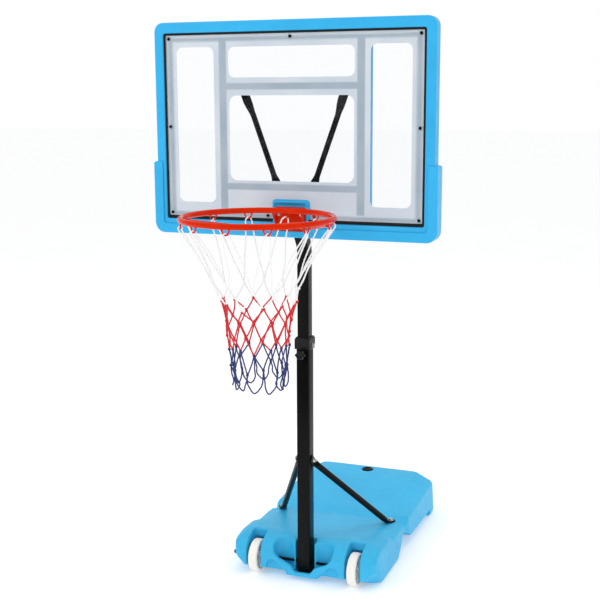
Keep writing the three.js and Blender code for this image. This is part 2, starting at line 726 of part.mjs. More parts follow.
function sheetTrim() {
  const { sheetHalfWidth: half, sheetBottom, sheetTop, trim, trimLow, trimFrontY, sheetBackY } = board;
  const outer = slabAlongY(roundedRect(
    -half - trim, half + trim, sheetBottom - trimLow, sheetTop + trim, 4), trimFrontY, sheetBackY - FIT);
  const inner = slabAlongY(roundedRect(
    -half - FIT, half + FIT, sheetBottom - FIT, sheetTop + FIT, 3), trimFrontY - 5, sheetBackY + 5);
  const notch = boss.halfWidth + 1;
  return cut(outer, [inner, box(-notch, notch, -120, -90, sheetBottom - 20, sheetBottom + 20)]);
}

// Screws along the sheet's edges; the two in the lower edge stand beside the bracket's seat.
function screwPlaces() {
  const x = board.sheetHalfWidth - 9;
  const [low, high] = [board.sheetBottom + 8, board.sheetTop - 9];
  const middle = (low + high) / 2;
  const beside = boss.halfWidth + 17;
  const row = (places, z) => places.map((place) => [place, z]);
  return [...row([-x, 0, x], high), ...row([-x, x], middle), ...row([-x, -beside, beside, x], low)];
}

function sheetScrew([x, z]) {
  const front = board.sheetFrontY;
  return join([
    bar([x, front - FIT, z], [x, front - 2.5, z], screw.headR, 20),
    bar([x, front - 1, z], [x, front + screw.length, z], screw.shankR, 10),
  ]);
}

// The guard is a channel that wraps the frame's lower edge and the lower third of its sides.
function bottomGuard() {
  const { halfWidth, bottom, frontY, backY, cornerR } = board;
  const { grow, lip, top } = guard;
  const wide = halfWidth + grow;
  const low = bottom - grow;
  const high = top + 60; // above the guard's own top
  const through = (shape) => slabAlongY(shape, -200, 0);
  const outer = slabAlongY(roundedRect(-wide, wide, low, high, guard.cornerR), guard.frontY, backY + 4);
  const keep = through(roundedRect(-wide - 1, wide + 1, low - 1, top, 8));
  const room = halfWidth + FIT;
  const frameRoom = slabAlongY(
    roundedRect(-room, room, bottom - FIT, high, cornerR), frontY - FIT, backY + FIT);
  const innerHalf = wide - lip;
  const window = through(roundedRect(-innerHalf, innerHalf, low + lip, high, 8));
  const bossHalf = boss.halfWidth + 4;
  const plateHalf = backPlate.half + 17;
  const bossNotch = box(-bossHalf, bossHalf, -200, -90, bottom + 8, bottom + 40);
  const plateNotch = box(-plateHalf, plateHalf, backY - 12, backY + 30, bottom - 2, bottom + 40);
  return cut(outer.intersect(keep), [frameRoom, window, bossNotch, plateNotch]);
}

// ---------------------------------------------------------------- rim and net

function rimBoltPlaces() {
  return bracket.boltZ.flatMap((z) => [[-bracket.boltX, z], [bracket.boltX, z]]);
}

// One bent wire eye under the ring, in the ring's tangent plane.
function netHook(turn) {
  const { radius, tubeR, hookWire } = rim;
  const half = [[10, -tubeR + 2], [8, -tubeR - 7], [2.5, -tubeR - 13]];
  const points = [...half.map(([along, z]) => [-along, z]), ...half.reverse()];
  const path = new THREE.CatmullRomCurve3(points.map(([along, z]) => new THREE.Vector3(
    radius * Math.cos(turn) - along * Math.sin(turn),
    rim.y + radius * Math.sin(turn) + along * Math.cos(turn),
    rim.z + z)));
  const section = new THREE.Shape();
  section.absarc(0, 0, hookWire, 0, Math.PI * 2);
  const geometry = new THREE.ExtrudeGeometry(section, { steps: 9, extrudePath: path, curveSegments: 3 });
  return toSolid(geometry);
}

function rimRing() {
  const torus = new THREE.TorusGeometry(rim.radius, rim.tubeR, 10, 60);
  torus.translate(0, rim.y, rim.z);
  const hooks = [];
  for (let i = 0; i < rim.hooks; i += 1) {
    hooks.push(netHook((i / rim.hooks) * 2 * Math.PI + Math.PI / 2));
  }
  return join([toSolid(torus), ...hooks]);
}

function ringRoom() {
  const torus = new THREE.TorusGeometry(rim.radius, rim.tubeR + 0.25, 16, 72);
  torus.translate(0, rim.y, rim.z);
  return toSolid(torus);
}

// The bracket is a pressed plate: an upright face on the board and a shelf that reaches the ring.
function rimBracket() {
  const { halfWidth, bottom, top, thick } = bracket;
  const back = boss.faceY - FIT;
  const upright = slabAlongY(roundedRect(-halfWidth, halfWidth, bottom, top, 5), back - thick, back);
  const ringBack = rim.y + rim.radius;
  const shelfHalf = halfWidth - 1;
  const shelf = box(-shelfHalf, shelfHalf, ringBack + 3, back - thick + 1, top - thick - 6, top - 6);
  const flange = (side) => {
    const x = side * (halfWidth - 2);
    const root = [[back - 1, bottom + 12], [back - 1, top - 8]];
    const tip = [[ringBack + 2, top - 8], [ringBack + 6, rim.z - 6]];
    return slabAlongX([...root, ...tip], x - 2, x + 2);
  };
  return cut(join([upright, shelf, flange(1), flange(-1)]), [
    ringRoom(),
    ...rimBoltPlaces().map(([x, z]) => bar([x, -125, z], [x, -100, z], bolt.smallHole, 16)),
  ]);
}

// A thin rod from the foot of the bracket out to the side of the ring.
function rightRimBrace() {
  const turn = THREE.MathUtils.degToRad(rim.braceAngle);
  const end = [rim.radius * Math.cos(turn), rim.y + rim.radius * Math.sin(turn), rim.z - rim.tubeR - 2];
  const start = [bracket.halfWidth - 3, boss.faceY - bracket.thick - 3.6, bracket.bottom + 3.5];
  return bar(start, end, 3, 14).subtract(ringRoom());
}

// The net hangs as an open sleeve that narrows below the ring.
function netSleeve() {
  const top = rim.z - 52; // clear of the hooks and the brace rods
  const outer = [[178, top], [150, 1030], [112, 935], [90, 850], [82, 780], [84, net.bottom]];
  const inner = outer.map(([radius, z]) => [radius - net.thick, z]).reverse();
  const profile = [...outer, ...inner, outer[0]];
  const geometry = toGeometry(turned(profile, 32));
  geometry.translate(0, rim.y, 0);
  return toSolid(geometry);
}

// ---------------------------------------------------------------- assembly

addPart('base_tank', baseTank(), c.baseBlue, 'plastic');
addPart('left_wheel', wheelSolid(-1), c.white, 'plastic');
addPart('right_wheel', wheelSolid(1), c.white, 'plastic');
const axleStart = -axleCapSeat.x - axleCapSeat.length + 2.5;
const axleRod = bar([axleStart, 0, wheel.axleZ], [axle.end, 0, wheel.axleZ], axle.radius, 16);
addPart('wheel_axle', axleRod, c.black, 'steel');
addPart('axle_cap', axleCap(), c.black, 'plastic');
addPart('filler_cap', fillerCap(), c.black, 'plastic');

addPart('lower_tube', lowerTube(), c.black, 'paint');
addPart('foot_plug', footPlug(), c.black, 'plastic');
addPart('height_collar', heightCollar(), c.black, 'plastic');
const collarBolt = hexBolt([collar.half + BED, 0, collar.boltZ], [-1, 0, 0], 5.4, bolt.shank, 8);
addPart('collar_bolt', collarBolt, c.steel, 'steel');
addPart('height_knob', heightKnob(), c.black, 'plastic');
addPart('knob_nut', knobNut(), c.black, 'paint');

addPart('right_brace', rightBrace(), c.black, 'paint');
addPart('left_brace', mirrored(rightBrace()), c.black, 'paint');
const tabTop = FIT + 2 * brace.tabThin + BED; // from a surface to the seat of a head on its tab
const braceSide = lower.half + tabTop;
const braceBolt = hexBolt([-braceSide, 0, brace.topZ], [1, 0, 0], 2 * braceSide + 11, bolt.shank, 8);
addPart('brace_top_bolt', braceBolt, c.steel, 'steel');
addPart('brace_top_nut', hexNut([braceSide + BED, 0, brace.topZ], [1, 0, 0], bolt.shank), c.steel, 'steel');
for (const [name, side] of [['left', -1], ['right', 1]]) {
  const seat = [side * brace.footX, brace.footY, brace.padZ + tabTop];
  addPart(`${name}_brace_foot_bolt`, hexBolt(seat, [0, 0, -1], 30, bolt.shank, 9), c.steel, 'steel');
}

addPart('upper_tube', upperTube(), c.black, 'paint');
addPart('right_board_arm', rightArm(), c.black, 'paint');
addPart('left_board_arm', mirrored(rightArm()), c.black, 'paint');
const armSide = upper.half + tabTop;
const armPoleBolt = hexBolt([-armSide, armBolt.y, armBolt.z], [1, 0, 0], 2 * armSide + 11, bolt.shank);
addPart('arm_pole_bolt', armPoleBolt, c.steel, 'steel');
const armPoleNut = hexNut([armSide + BED, armBolt.y, armBolt.z], [1, 0, 0], bolt.shank);
addPart('arm_pole_nut', armPoleNut, c.steel, 'steel');
for (const [name, side] of [['left', -1], ['right', 1]]) {
  const seat = [side * arm.boltX, board.ribBackY + tabTop, arm.boltZ];
  addPart(`${name}_arm_board_bolt`, hexBolt(seat, [0, -1, 0], 16, bolt.small), c.steel, 'steel');
}

addPart('board_frame', boardFrame(), c.frameBlue, 'plastic');
addPart('board_sheet', boardSheet(), c.sheet, 'clear');
addPart('sheet_edge_trim', sheetTrim(), c.rubber, 'plastic');
addPart('bottom_guard', bottomGuard(), c.frameBlue, 'plastic');
screwPlaces().forEach((place, i) => addPart(`sheet_screw_${i + 1}`, sheetScrew(place), c.black, 'paint'));

addPart('rim_ring', rimRing(), c.red, 'gloss');
addPart('rim_bracket', rimBracket(), c.red, 'gloss');
addPart('right_rim_brace', rightRimBrace(), c.red, 'gloss');
addPart('left_rim_brace', mirrored(rightRimBrace()), c.red, 'gloss');
const plateBack = board.ribBackY + FIT + backPlate.thick;
rimBoltPlaces().forEach(([x, z], i) => {
  const seat = [x, boss.faceY - FIT - bracket.thick - BED, z];
  const length = plateBack - seat[1] + 6.5;
  addPart(`rim_bolt_${i + 1}`, hexBolt(seat, [0, 1, 0], length, bolt.small), c.steel, 'steel');
  addPart(`rim_nut_${i + 1}`, hexNut([x, plateBack + BED, z], [0, 1, 0], bolt.small), c.steel, 'steel');
});
addPart('net', netSleeve(), c.white, 'cord');

export default group;
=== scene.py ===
import json
import math
import random

import bmesh
import bpy
from mathutils import Matrix, Vector

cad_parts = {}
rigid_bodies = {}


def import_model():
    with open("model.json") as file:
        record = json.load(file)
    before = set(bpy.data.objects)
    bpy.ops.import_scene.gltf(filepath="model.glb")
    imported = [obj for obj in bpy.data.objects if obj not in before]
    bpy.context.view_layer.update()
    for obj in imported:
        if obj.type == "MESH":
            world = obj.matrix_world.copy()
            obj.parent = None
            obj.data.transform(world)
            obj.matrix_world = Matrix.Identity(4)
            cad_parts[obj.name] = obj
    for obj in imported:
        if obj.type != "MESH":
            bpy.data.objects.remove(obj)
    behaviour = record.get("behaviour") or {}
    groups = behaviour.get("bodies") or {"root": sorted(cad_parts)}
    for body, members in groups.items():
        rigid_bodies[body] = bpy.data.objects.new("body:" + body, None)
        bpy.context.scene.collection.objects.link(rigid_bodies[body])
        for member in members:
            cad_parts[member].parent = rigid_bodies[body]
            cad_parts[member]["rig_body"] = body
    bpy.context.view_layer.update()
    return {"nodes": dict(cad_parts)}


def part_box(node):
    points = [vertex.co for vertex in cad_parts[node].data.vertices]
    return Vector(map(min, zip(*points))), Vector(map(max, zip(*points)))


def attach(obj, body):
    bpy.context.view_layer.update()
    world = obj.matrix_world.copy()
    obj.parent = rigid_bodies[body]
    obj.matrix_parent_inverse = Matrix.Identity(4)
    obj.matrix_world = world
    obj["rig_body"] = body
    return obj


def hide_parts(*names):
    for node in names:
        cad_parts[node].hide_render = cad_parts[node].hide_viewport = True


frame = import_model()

# Looks of the poolside basketball hoop. Shapes are written in millimetres in the CAD frame
# and turned into metres when a piece is made.
MM = 0.001
WELD = 1e-5  # metres, joins the split vertices of a CAD mesh
LOOKS_SEED = 7
X_AXIS, Y_AXIS, Z_AXIS = Vector((1, 0, 0)), Vector((0, 1, 0)), Vector((0, 0, 1))


# ---- node materials


def srgb(red, green, blue):
    """A display colour from 0 to 255 as linear RGBA."""
    def linear(value):
        share = value / 255
        return share / 12.92 if share <= 0.04045 else ((share + 0.055) / 1.055) ** 2.4
    return (linear(red), linear(green), linear(blue), 1.0)


def shade(colour, factor):
    return tuple(min(1.0, channel * factor) for channel in colour[:3]) + (1.0,)


class Graph:
    """The nodes of one material or world under construction."""

    def __init__(self, tree):
        self.nodes = tree.nodes
        self.links = tree.links

    def add(self, kind, inputs=None, **settings):
        node = self.nodes.new(kind)
        for name, value in settings.items():
            setattr(node, name, value)
        for key, value in (inputs or {}).items():
            self.feed(node.inputs[key], value)
        return node

    def feed(self, socket, value):
        if isinstance(value, bpy.types.NodeSocket):
            self.links.new(value, socket)
        else:
            socket.default_value = value

    def remap(self, value, low, high, to_low=0.0, to_high=1.0, smooth=False):
        kind = "SMOOTHSTEP" if smooth else "LINEAR"
        return self.add("ShaderNodeMapRange", {
            "Value": value, "From Min": low, "From Max": high, "To Min": to_low, "To Max": to_high,
        }, interpolation_type=kind).outputs["Result"]

    def maths(self, operation, first, second=0.0):
        return self.add("ShaderNodeMath", {0: first, 1: second}, operation=operation).outputs[0]

    def times(self, first, second):
        return self.maths("MULTIPLY", first, second)

    def mix(self, share, first, second):
        node = self.add("ShaderNodeMix", data_type="RGBA")
        self.feed(node.inputs["Factor"], share)
        self.feed(node.inputs["A"], first)
        self.feed(node.inputs["B"], second)
        return node.outputs["Result"]


class Finish(Graph):
    """One node material under construction."""

    def __init__(self, name):
        self.material = bpy.data.materials.new(name)
        self.material.use_nodes = True
        super().__init__(self.material.node_tree)
        self.surface = self.nodes["Principled BSDF"]
        self.place = self.add("ShaderNodeTexCoord").outputs["Object"]

    def noise(self, size_mm, detail=3.0, stretch=(1, 1, 1)):
        """Noise whose features are about size_mm across."""
        scaled = self.add("ShaderNodeMapping", {"Vector": self.place, "Scale": stretch})
        return self.add("ShaderNodeTexNoise", {
            "Vector": scaled.outputs[0],
            "Scale": 1 / (size_mm * MM),
            "Detail": detail,
        }).outputs["Fac"]

    def bump(self, height, depth_mm, below=None):
        node = self.add("ShaderNodeBump", {"Height": height, "Distance": depth_mm * MM, "Strength": 1.0})
        if below is not None:
            self.feed(node.inputs["Normal"], below)
        return node.outputs["Normal"]

    def edges(self, radius_mm):
        """1 on convex and concave edges, 0 on flat faces."""
        rounded = self.add("ShaderNodeBevel", {"Radius": radius_mm * MM}, samples=4)
        flat = self.add("ShaderNodeNewGeometry").outputs["Normal"]
        along = self.add("ShaderNodeVectorMath", {0: rounded.outputs[0], 1: flat}, operation="DOT_PRODUCT")
        return self.remap(along.outputs["Value"], 0.995, 0.90)

    def patchy(self, colour, spread, patch_mm):
        """The colour, a little darker and lighter from place to place."""
        wide = self.noise(patch_mm, 2)
        fine = self.noise(patch_mm / 9, 4)
        share = self.maths("ADD", self.times(wide, 0.65), self.times(fine, 0.35))
        share = self.remap(share, 0.35, 0.65)
        return self.mix(share, shade(colour, 1 - spread), shade(colour, 1 + spread))

    def set(self, **inputs):
        for name, value in inputs.items():
            self.feed(self.surface.inputs[name.replace("_", " ")], value)


def moulded(name, colour, roughness, grain_mm, grain_depth, spread=0.05, patch_mm=120, scuffs=0.5,
            worn=None):
    """Moulded plastic: fine grain, soft waviness, colour drift, faint scratches and rubbed edges."""
    finish = Finish(name)
    tint = finish.patchy(colour, spread, patch_mm)
    scratch = finish.remap(finish.noise(5, 2, stretch=(0.1, 0.7, 1.2)), 0.66, 0.72)
    scratch = finish.times(scratch, finish.remap(finish.noise(90, 1), 0.5, 0.62))
    scratch = finish.times(scratch, scuffs)
    rub = finish.times(finish.edges(2.5), finish.remap(finish.noise(7, 4), 0.4, 0.65))
    rub = finish.times(rub, 0.3)
    tint = finish.mix(finish.times(scratch, 0.2), tint, shade(colour, 1.25))
    tint = finish.mix(rub, tint, worn or shade(colour, 1.25))
    rough = finish.remap(finish.noise(30, 3), 0.3, 0.7, roughness - 0.06, roughness + 0.07)
    rough = finish.maths("ADD", rough, finish.times(scratch, 0.18))
    waves = finish.bump(finish.noise(22, 1), 0.12)
    grain = finish.bump(finish.noise(grain_mm, 3), grain_depth, below=waves)
    finish.set(Base_Color=tint, Roughness=rough, Normal=grain, Specular_IOR_Level=0.3)
    return finish.material


def powder_coat(name, colour, roughness, peel_mm=1.6, peel_depth=0.03, sheen=0.5,
                gloss=(1, 1, 1, 1), worn=(0.06, 0.06, 0.063, 1)):
    """Powder coat on steel: orange peel, dust specks, thin worn edges."""
    finish = Finish(name)
    tint = finish.patchy(colour, 0.08, 60)
    speck = finish.remap(finish.noise(1.1, 2), 0.74, 0.78)
    tint = finish.mix(finish.times(speck, 0.25), tint, shade(worn, 1.6))
    rub = finish.times(finish.edges(1.2), finish.remap(finish.noise(5, 4), 0.45, 0.62))
    tint = finish.mix(finish.times(rub, 0.45), tint, worn)
    rough = finish.remap(finish.noise(26, 3), 0.3, 0.7, roughness - 0.05, roughness + 0.06)
    peel = finish.bump(finish.noise(peel_mm, 2), peel_depth)
    finish.set(Base_Color=tint, Roughness=rough, Normal=peel, Specular_IOR_Level=sheen, Specular_Tint=gloss)
    return finish.material


def zinc():
    """Zinc plated steel with drawn streaks and duller patches."""
    finish = Finish("zinc_plated_steel")
    streak = finish.noise(0.8, 2, stretch=(0.15, 1, 1))
    dull = finish.noise(4, 4)
    tint = finish.mix(finish.remap(dull, 0.35, 0.65), (0.46, 0.47, 0.48, 1), (0.72, 0.73, 0.74, 1))
    rough = finish.remap(streak, 0.3, 0.7, 0.22, 0.42)
    finish.set(Base_Color=tint, Roughness=rough, Metallic=1.0, Normal=finish.bump(streak, 0.02))
    return finish.material


def braided(name, colour):
    """Braided cord: crossing strands with painted shade in their crevices, loose fibres and a soft sheen.
    """
    finish = Finish(name)
    strands_and_crevice_shade = finish.noise(1.3, 3)
    fibre = finish.noise(0.35, 2, stretch=(1, 1, 0.3))
    # The strand noise paints shade into the crevices between strands and a faint highlight on their crowns.
    tint = finish.mix(finish.remap(strands_and_crevice_shade, 0.3, 0.7), shade(colour, 0.86), shade(colour, 1.06))
    stray = finish.times(finish.remap(fibre, 0.55, 0.75), 0.3)
    tint = finish.mix(stray, tint, shade(colour, 1.4))
    normal = finish.bump(fibre, 0.12, below=finish.bump(strands_and_crevice_shade, 0.2))
    finish.set(Base_Color=tint, Roughness=0.85, Normal=normal, Sheen_Weight=0.25)
    return finish.material


def clear_plastic():
    """Clear polycarbonate: see-through with a glancing gloss, faint haze and hairline marks."""
    finish = Finish("clear_polycarbonate")
    hair = finish.remap(finish.noise(3, 2, stretch=(1, 1, 0.06)), 0.70, 0.74)
    haze = finish.times(finish.remap(finish.noise(70, 3), 0.45, 0.7), 0.015)
    haze = finish.maths("ADD", haze, finish.times(hair, 0.02))
    finish.set(Base_Color=(0.86, 0.90, 0.93, 1), Normal=finish.bump(finish.noise(160, 1), 0.25))
    finish.set(Roughness=finish.remap(finish.noise(40, 2), 0.3, 0.7, 0.05, 0.10))
    gloss = finish.add("ShaderNodeFresnel", {"IOR": 1.18}).outputs[0]
    veil = finish.maths("ADD", haze, finish.times(gloss, 0.5))
    through = finish.add("ShaderNodeBsdfTransparent", {"Color": (0.985, 0.99, 0.995, 1)})
    blend = finish.add("ShaderNodeMixShader", {0: veil, 1: through.outputs[0]})
    finish.feed(blend.inputs[2], finish.surface.outputs[0])
    finish.feed(finish.nodes["Material Output"].inputs["Surface"], blend.outputs[0])
    return finish.material


def printed_border(bands):
    """The grey-white print: pale film with darker soft bands where its ribs are drawn."""
    finish = Finish("printed_border")
    split = finish.add("ShaderNodeSeparateXYZ", {0: finish.place})
    across = finish.maths("ABSOLUTE", split.outputs["X"])
    up = split.outputs["Z"]

    def clouded(size, light, dark):
        return finish.mix(finish.remap(finish.noise(size, 2), 0.35, 0.65), srgb(*light), srgb(*dark))

    def inside(value, low, high, soft):
        rise = finish.remap(value, (low - soft) * MM, (low + soft) * MM, smooth=True)
        fall = finish.remap(value, (high - soft) * MM, (high + soft) * MM, 1.0, 0.0, smooth=True)
        return finish.times(rise, fall)

    dark = None
    for x_low, x_high, z_low, z_high, soft in bands:
        wide, tall = inside(across, x_low, x_high, soft), inside(up, z_low, z_high, soft)
        mask = finish.times(wide, tall)
        dark = mask if dark is None else finish.maths("MAXIMUM", dark, mask)
    pale = clouded(140, (210, 218, 226), (222, 227, 231))
    deep = clouded(110, (167, 181, 193), (178, 190, 200))
    tint = finish.mix(dark, pale, deep)
    dots = finish.remap(finish.noise(0.9, 1), 0.62, 0.7, 0, 0.06)
    tint = finish.mix(dots, tint, srgb(235, 238, 242))
    finish.set(Base_Color=tint, Roughness=finish.remap(finish.noise(18, 3), 0.3, 0.7, 0.42, 0.56))
    finish.set(Normal=finish.bump(finish.noise(0.9, 1), 0.01))
    return finish.material


# ---- mesh forms


def box_mm(node):
    low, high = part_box(node)
    return low / MM, high / MM


def loop_about(at, first, second, outline):
    """Outline points (u, v) laid out from a point along two directions."""
    return [at + first * u + second * v for u, v in outline]


def polar(radius, turn):
    return radius * math.cos(turn), radius * math.sin(turn)


def rounded_rect(half_u, half_v, corner, steps=5):
    """Corner-rounded rectangle about (0, 0), counter-clockwise."""
    points = []
    for quarter in range(4):
        sign_u = 1 if quarter in (0, 3) else -1
        sign_v = 1 if quarter in (0, 1) else -1
        for i in range(steps + 1):
            u, v = polar(corner, math.radians(90 * (quarter + i / steps)))
            points.append((sign_u * (half_u - corner) + u, sign_v * (half_v - corner) + v))
    return points


def outline_by(sides, size):
    """An outline about (0, 0) whose radius at each turn is size(turn)."""
    turns = [2 * math.pi * i / sides for i in range(sides)]
    return [polar(size(turn), turn) for turn in turns]


def circle(radius, sides):
    return outline_by(sides, lambda turn: radius)


def across_axes(axis):
    """Two unit directions square to the axis and to each other."""
    axis = axis.normalized()
    helper = Z_AXIS if abs(axis.z) < 0.9 else Y_AXIS
    first = helper.cross(axis).normalized()
    return first, axis.cross(first)


def smooth_path(controls, spacing, closed=False):
    """A Catmull-Rom curve through the control points, sampled about every spacing."""
    count = len(controls)
    path = []
    for i in range(count if closed else count - 1):
        if closed:
            p0, p1, p2, p3 = (controls[(i + k) % count] for k in (-1, 0, 1, 2))
        else:
            p1, p2 = controls[i], controls[i + 1]
            p0 = controls[i - 1] if i > 0 else p1 * 2 - p2
            p3 = controls[i + 2] if i + 2 < count else p2 * 2 - p1
        steps = max(1, round((p2 - p1).length / spacing))
        for k in range(steps):
            t = k / steps
            path.append(0.5 * (
                2 * p1 + (p2 - p0) * t + (2 * p0 - 5 * p1 + 4 * p2 - p3) * t * t
                + (3 * p1 - p0 - 3 * p2 + p3) * t ** 3))
    if not closed:
        path.append(controls[-1].copy())
    return path


class Form:
    """The points and faces of one piece, in millimetres."""

    def __init__(self):
        self.points = []
        self.faces = []

    def loft(self, loops, close=False):
        """A skin over loops of equal length; it ends in flat caps, or joins its last loop to its first."""
        start, count, rows = len(self.points), len(loops[0]), len(loops)
        for loop in loops:
            self.points.extend(loop)
        for row in range(rows if close else rows - 1):
            low = start + row * count
            high = start + ((row + 1) % rows) * count
            for i in range(count):
                j = (i + 1) % count
                self.faces.append((low + i, low + j, high + j, high + i))
        if not close:
            self.faces.append(tuple(reversed(range(start, start + count))))
            self.faces.append(tuple(range(start + (rows - 1) * count, start + rows * count)))

    def hollow(self, outer, inner):
        """A tube wall between two lofts that run the same way."""
        self.loft(outer + inner[::-1], close=True)

    def lathe(self, origin, axis, profile, sides=32, close=False):
        """Turns (radius, height) points about an axis; a closed profile makes a ring."""
        axis = axis.normalized()
        first, second = across_axes(axis)
        loops = [loop_about(origin + axis * h, first, second, circle(r, sides)) for r, h in profile]
        self.loft(loops, close)

    def sweep(self, path, section, closed=False):
        """Carries a section along a path; section(distance) gives the outline there."""
        count = len(path)
        tangents = []
        for i in range(count):
            before = path[(i - 1) % count] if closed or i > 0 else path[i]
            after = path[(i + 1) % count] if closed or i < count - 1 else path[i]
            tangents.append((after - before).normalized())
        first, _ = across_axes(tangents[0])
        loops, distance = [], 0.0
        for i, at in enumerate(path):
            if i:
                distance += (at - path[i - 1]).length
                first = (first - tangents[i] * first.dot(tangents[i])).normalized()
            loops.append(loop_about(at, first, tangents[i].cross(first), section(distance)))
        self.loft(loops, close=closed)

    def slab(self, half_u, half_v, corner, low, high, bevel, middle=(0, 0), steps=5):
        """A rounded plate in x and z between two depths along Y, with bevelled rims."""
        loops = []
        arc = [(0, 1), (0.3, 0.3), (1, 0)]
        rims = [(low + bevel * a, bevel * b) for a, b in arc]
        rims += [(high - bevel * a, bevel * b) for a, b in arc[::-1]]
        for depth, inset in rims:
            outline = rounded_rect(half_u - inset, half_v - inset, max(0.2, corner - inset), steps)
            at = Vector((middle[0], depth, middle[1]))
            loops.append(loop_about(at, X_AXIS, Z_AXIS, outline))
        self.loft(loops)

    def mirrored(self):
        twin = Form()
        twin.points = [Vector((-p[0], p[1], p[2])) for p in self.points]
        twin.faces = [tuple(reversed(face)) for face in self.faces]
        return twin

    def mesh(self, name):
        mesh = bpy.data.meshes.new(name)
        mesh.from_pydata([tuple(Vector(p) * MM) for p in self.points], [], self.faces)
        return mesh

    def piece(self, name, material, sharp=40):
        return finish_piece(name, self.mesh(name), material, sharp)


def opened(mesh):
    """A bmesh copy of a mesh, for editing."""
    work = bmesh.new()
    work.from_mesh(mesh)
    return work


def closed(work, mesh):
    """Writes an edited bmesh into a mesh and frees it."""
    work.to_mesh(mesh)
    work.free()
    return mesh


def linked(name, data):
    """A new object in the scene."""
    thing = bpy.data.objects.new(name, data)
    bpy.context.scene.collection.objects.link(thing)
    return thing


def finish_piece(name, mesh, material, sharp):
    """Turns faces outward, shades smoothly below the sharp angle and links the object."""
    work = opened(mesh)
    bmesh.ops.recalc_face_normals(work, faces=work.faces)
    closed(work, mesh)
    mesh.shade_smooth()
    mesh.set_sharp_from_angle(angle=math.radians(sharp))
    mesh.materials.clear()
    mesh.materials.append(material)
    return linked(name, mesh)


def install(piece, node):
    """Rides the piece on its node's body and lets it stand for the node."""
    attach(piece, frame["nodes"][node]["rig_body"])
    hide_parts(node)


def welded(mesh):
    """A bmesh copy of a mesh with its split vertices joined."""
    work = opened(mesh)
    bmesh.ops.remove_doubles(work, verts=work.verts, dist=WELD)
    return work


def welded_copy(node):
    return welded(frame["nodes"][node].data)


def evaluated_mesh(thing):
    """A new mesh of the object as its curve or modifiers shape it."""
    graph = bpy.context.evaluated_depsgraph_get()
    graph.update()
    return bpy.data.meshes.new_from_object(thing.evaluated_get(graph))


def bake(piece):
    baked = evaluated_mesh(piece)
    piece.modifiers.clear()
    piece.data = baked


def bevelled(node, name, material, width_mm):
    """The CAD shape with its sharp edges rounded."""
    work = welded_copy(node)
    bmesh.ops.dissolve_limit(work, angle_limit=math.radians(1), verts=work.verts, edges=work.edges)
    piece = finish_piece(name, closed(work, bpy.data.meshes.new(name)), material, sharp=60)
    bevel = piece.modifiers.new("bevel", "BEVEL")
    bevel.width = width_mm * MM
    bevel.segments = 3
    bevel.limit_method = "ANGLE"
    bevel.angle_limit = math.radians(35)
    bevel.harden_normals = True
    bake(piece)
    install(piece, node)


def remeshed(work, name, material, voxel_mm, passes):
    """Remeshes a closed bmesh finely and relaxes it, which rounds every edge as moulding does."""
    piece = finish_piece(name, closed(work, bpy.data.meshes.new(name)), material, sharp=80)
    remesh = piece.modifiers.new("remesh", "REMESH")
    remesh.mode = "VOXEL"
    remesh.voxel_size = voxel_mm * MM
    remesh.use_smooth_shade = True
    relax = piece.modifiers.new("relax", "SMOOTH")
    relax.factor = 0.5
    relax.iterations = passes
    bake(piece)
    piece.data.shade_smooth()
    return piece


# ---- materials of this object

frame_plastic = moulded("blue_blow_moulded_plastic", srgb(46, 176, 232), 0.36, 1.4, 0.04, scuffs=0.4)
tank_plastic = moulded("light_blue_tank_plastic", srgb(54, 182, 230), 0.42, 1.8, 0.06, spread=0.06,
                       patch_mm=170, scuffs=0.8)
black_plastic = moulded("black_moulded_plastic", srgb(12, 12, 13), 0.42, 0.9, 0.03, worn=srgb(48, 48, 50))
white_plastic = moulded("white_wheel_plastic", srgb(246, 242, 236), 0.45, 1.0, 0.04, spread=0.04,
                        patch_mm=35, worn=srgb(205, 200, 190))
# Black rubber for the sheet's edge trim; its black also stands in as painted shade for the shadowed gap
# between frame and sheet.
trim_rubber_and_gap_shade = moulded("black_edge_rubber_and_gap_shade", srgb(14, 14, 15), 0.62, 0.8, 0.03, worn=srgb(40, 40, 42))
black_paint = powder_coat("black_powder_coat", srgb(9, 9, 10), 0.30, sheen=0.11)
red_paint = powder_coat("red_powder_coat", srgb(214, 40, 4), 0.13, peel_mm=2.2, sheen=0.12,
                        gloss=(1.0, 0.5, 0.3, 1), worn=srgb(140, 34, 12))
zinc_steel = zinc()
clear_panel = clear_plastic()
white_cord = braided("white_cord", srgb(250, 250, 252))
red_cord = braided("red_cord", srgb(216, 10, 28))
blue_cord = braided("blue_cord", srgb(34, 50, 116))


# ---- base tank


def closed_under_cap(work):
    """Adds a cup under the filler cap, so that the tank's cavity is shut off from its outer skin."""
    low, high = box_mm("filler_cap")
    reach, tall = (high.x - low.x) / 2, high.z - low.z
    outer, inner, drop, floor = reach + 4, reach - 2, 7, 5.5
    cup = Form()
    cup.lathe(Vector((low.x + reach, low.y + reach, low.z - drop)), Z_AXIS, [
        (0.5, 0), (outer, 0), (outer, tall), (inner, tall), (inner, floor), (0.5, floor)], 40, close=True)
    work.from_mesh(cup.mesh("cup"))


def keep_outer_skin(mesh):
    """Removes every part of the mesh that doesn't join the widest point, such as the cavity's wall."""
    work = opened(mesh)
    seed = max(work.verts, key=lambda vertex: abs(vertex.co.x))
    outer, front = {seed}, [seed]
    while front:
        vertex = front.pop()
        for edge in vertex.link_edges:
            other = edge.other_vert(vertex)
            if other not in outer:
                outer.add(other)
                front.append(other)
    bmesh.ops.delete(work, geom=[v for v in work.verts if v not in outer], context="VERTS")
    closed(work, mesh)


def base_tank():
    work = welded_copy("base_tank")
    closed_under_cap(work)
    piece = remeshed(work, "tank_shell", tank_plastic, voxel_mm=3.0, passes=7)
    keep_outer_skin(piece.data)
    install(piece, "base_tank")


# ---- wheels, axle and caps

RIBS = 6
RIB_THIN = 1.6


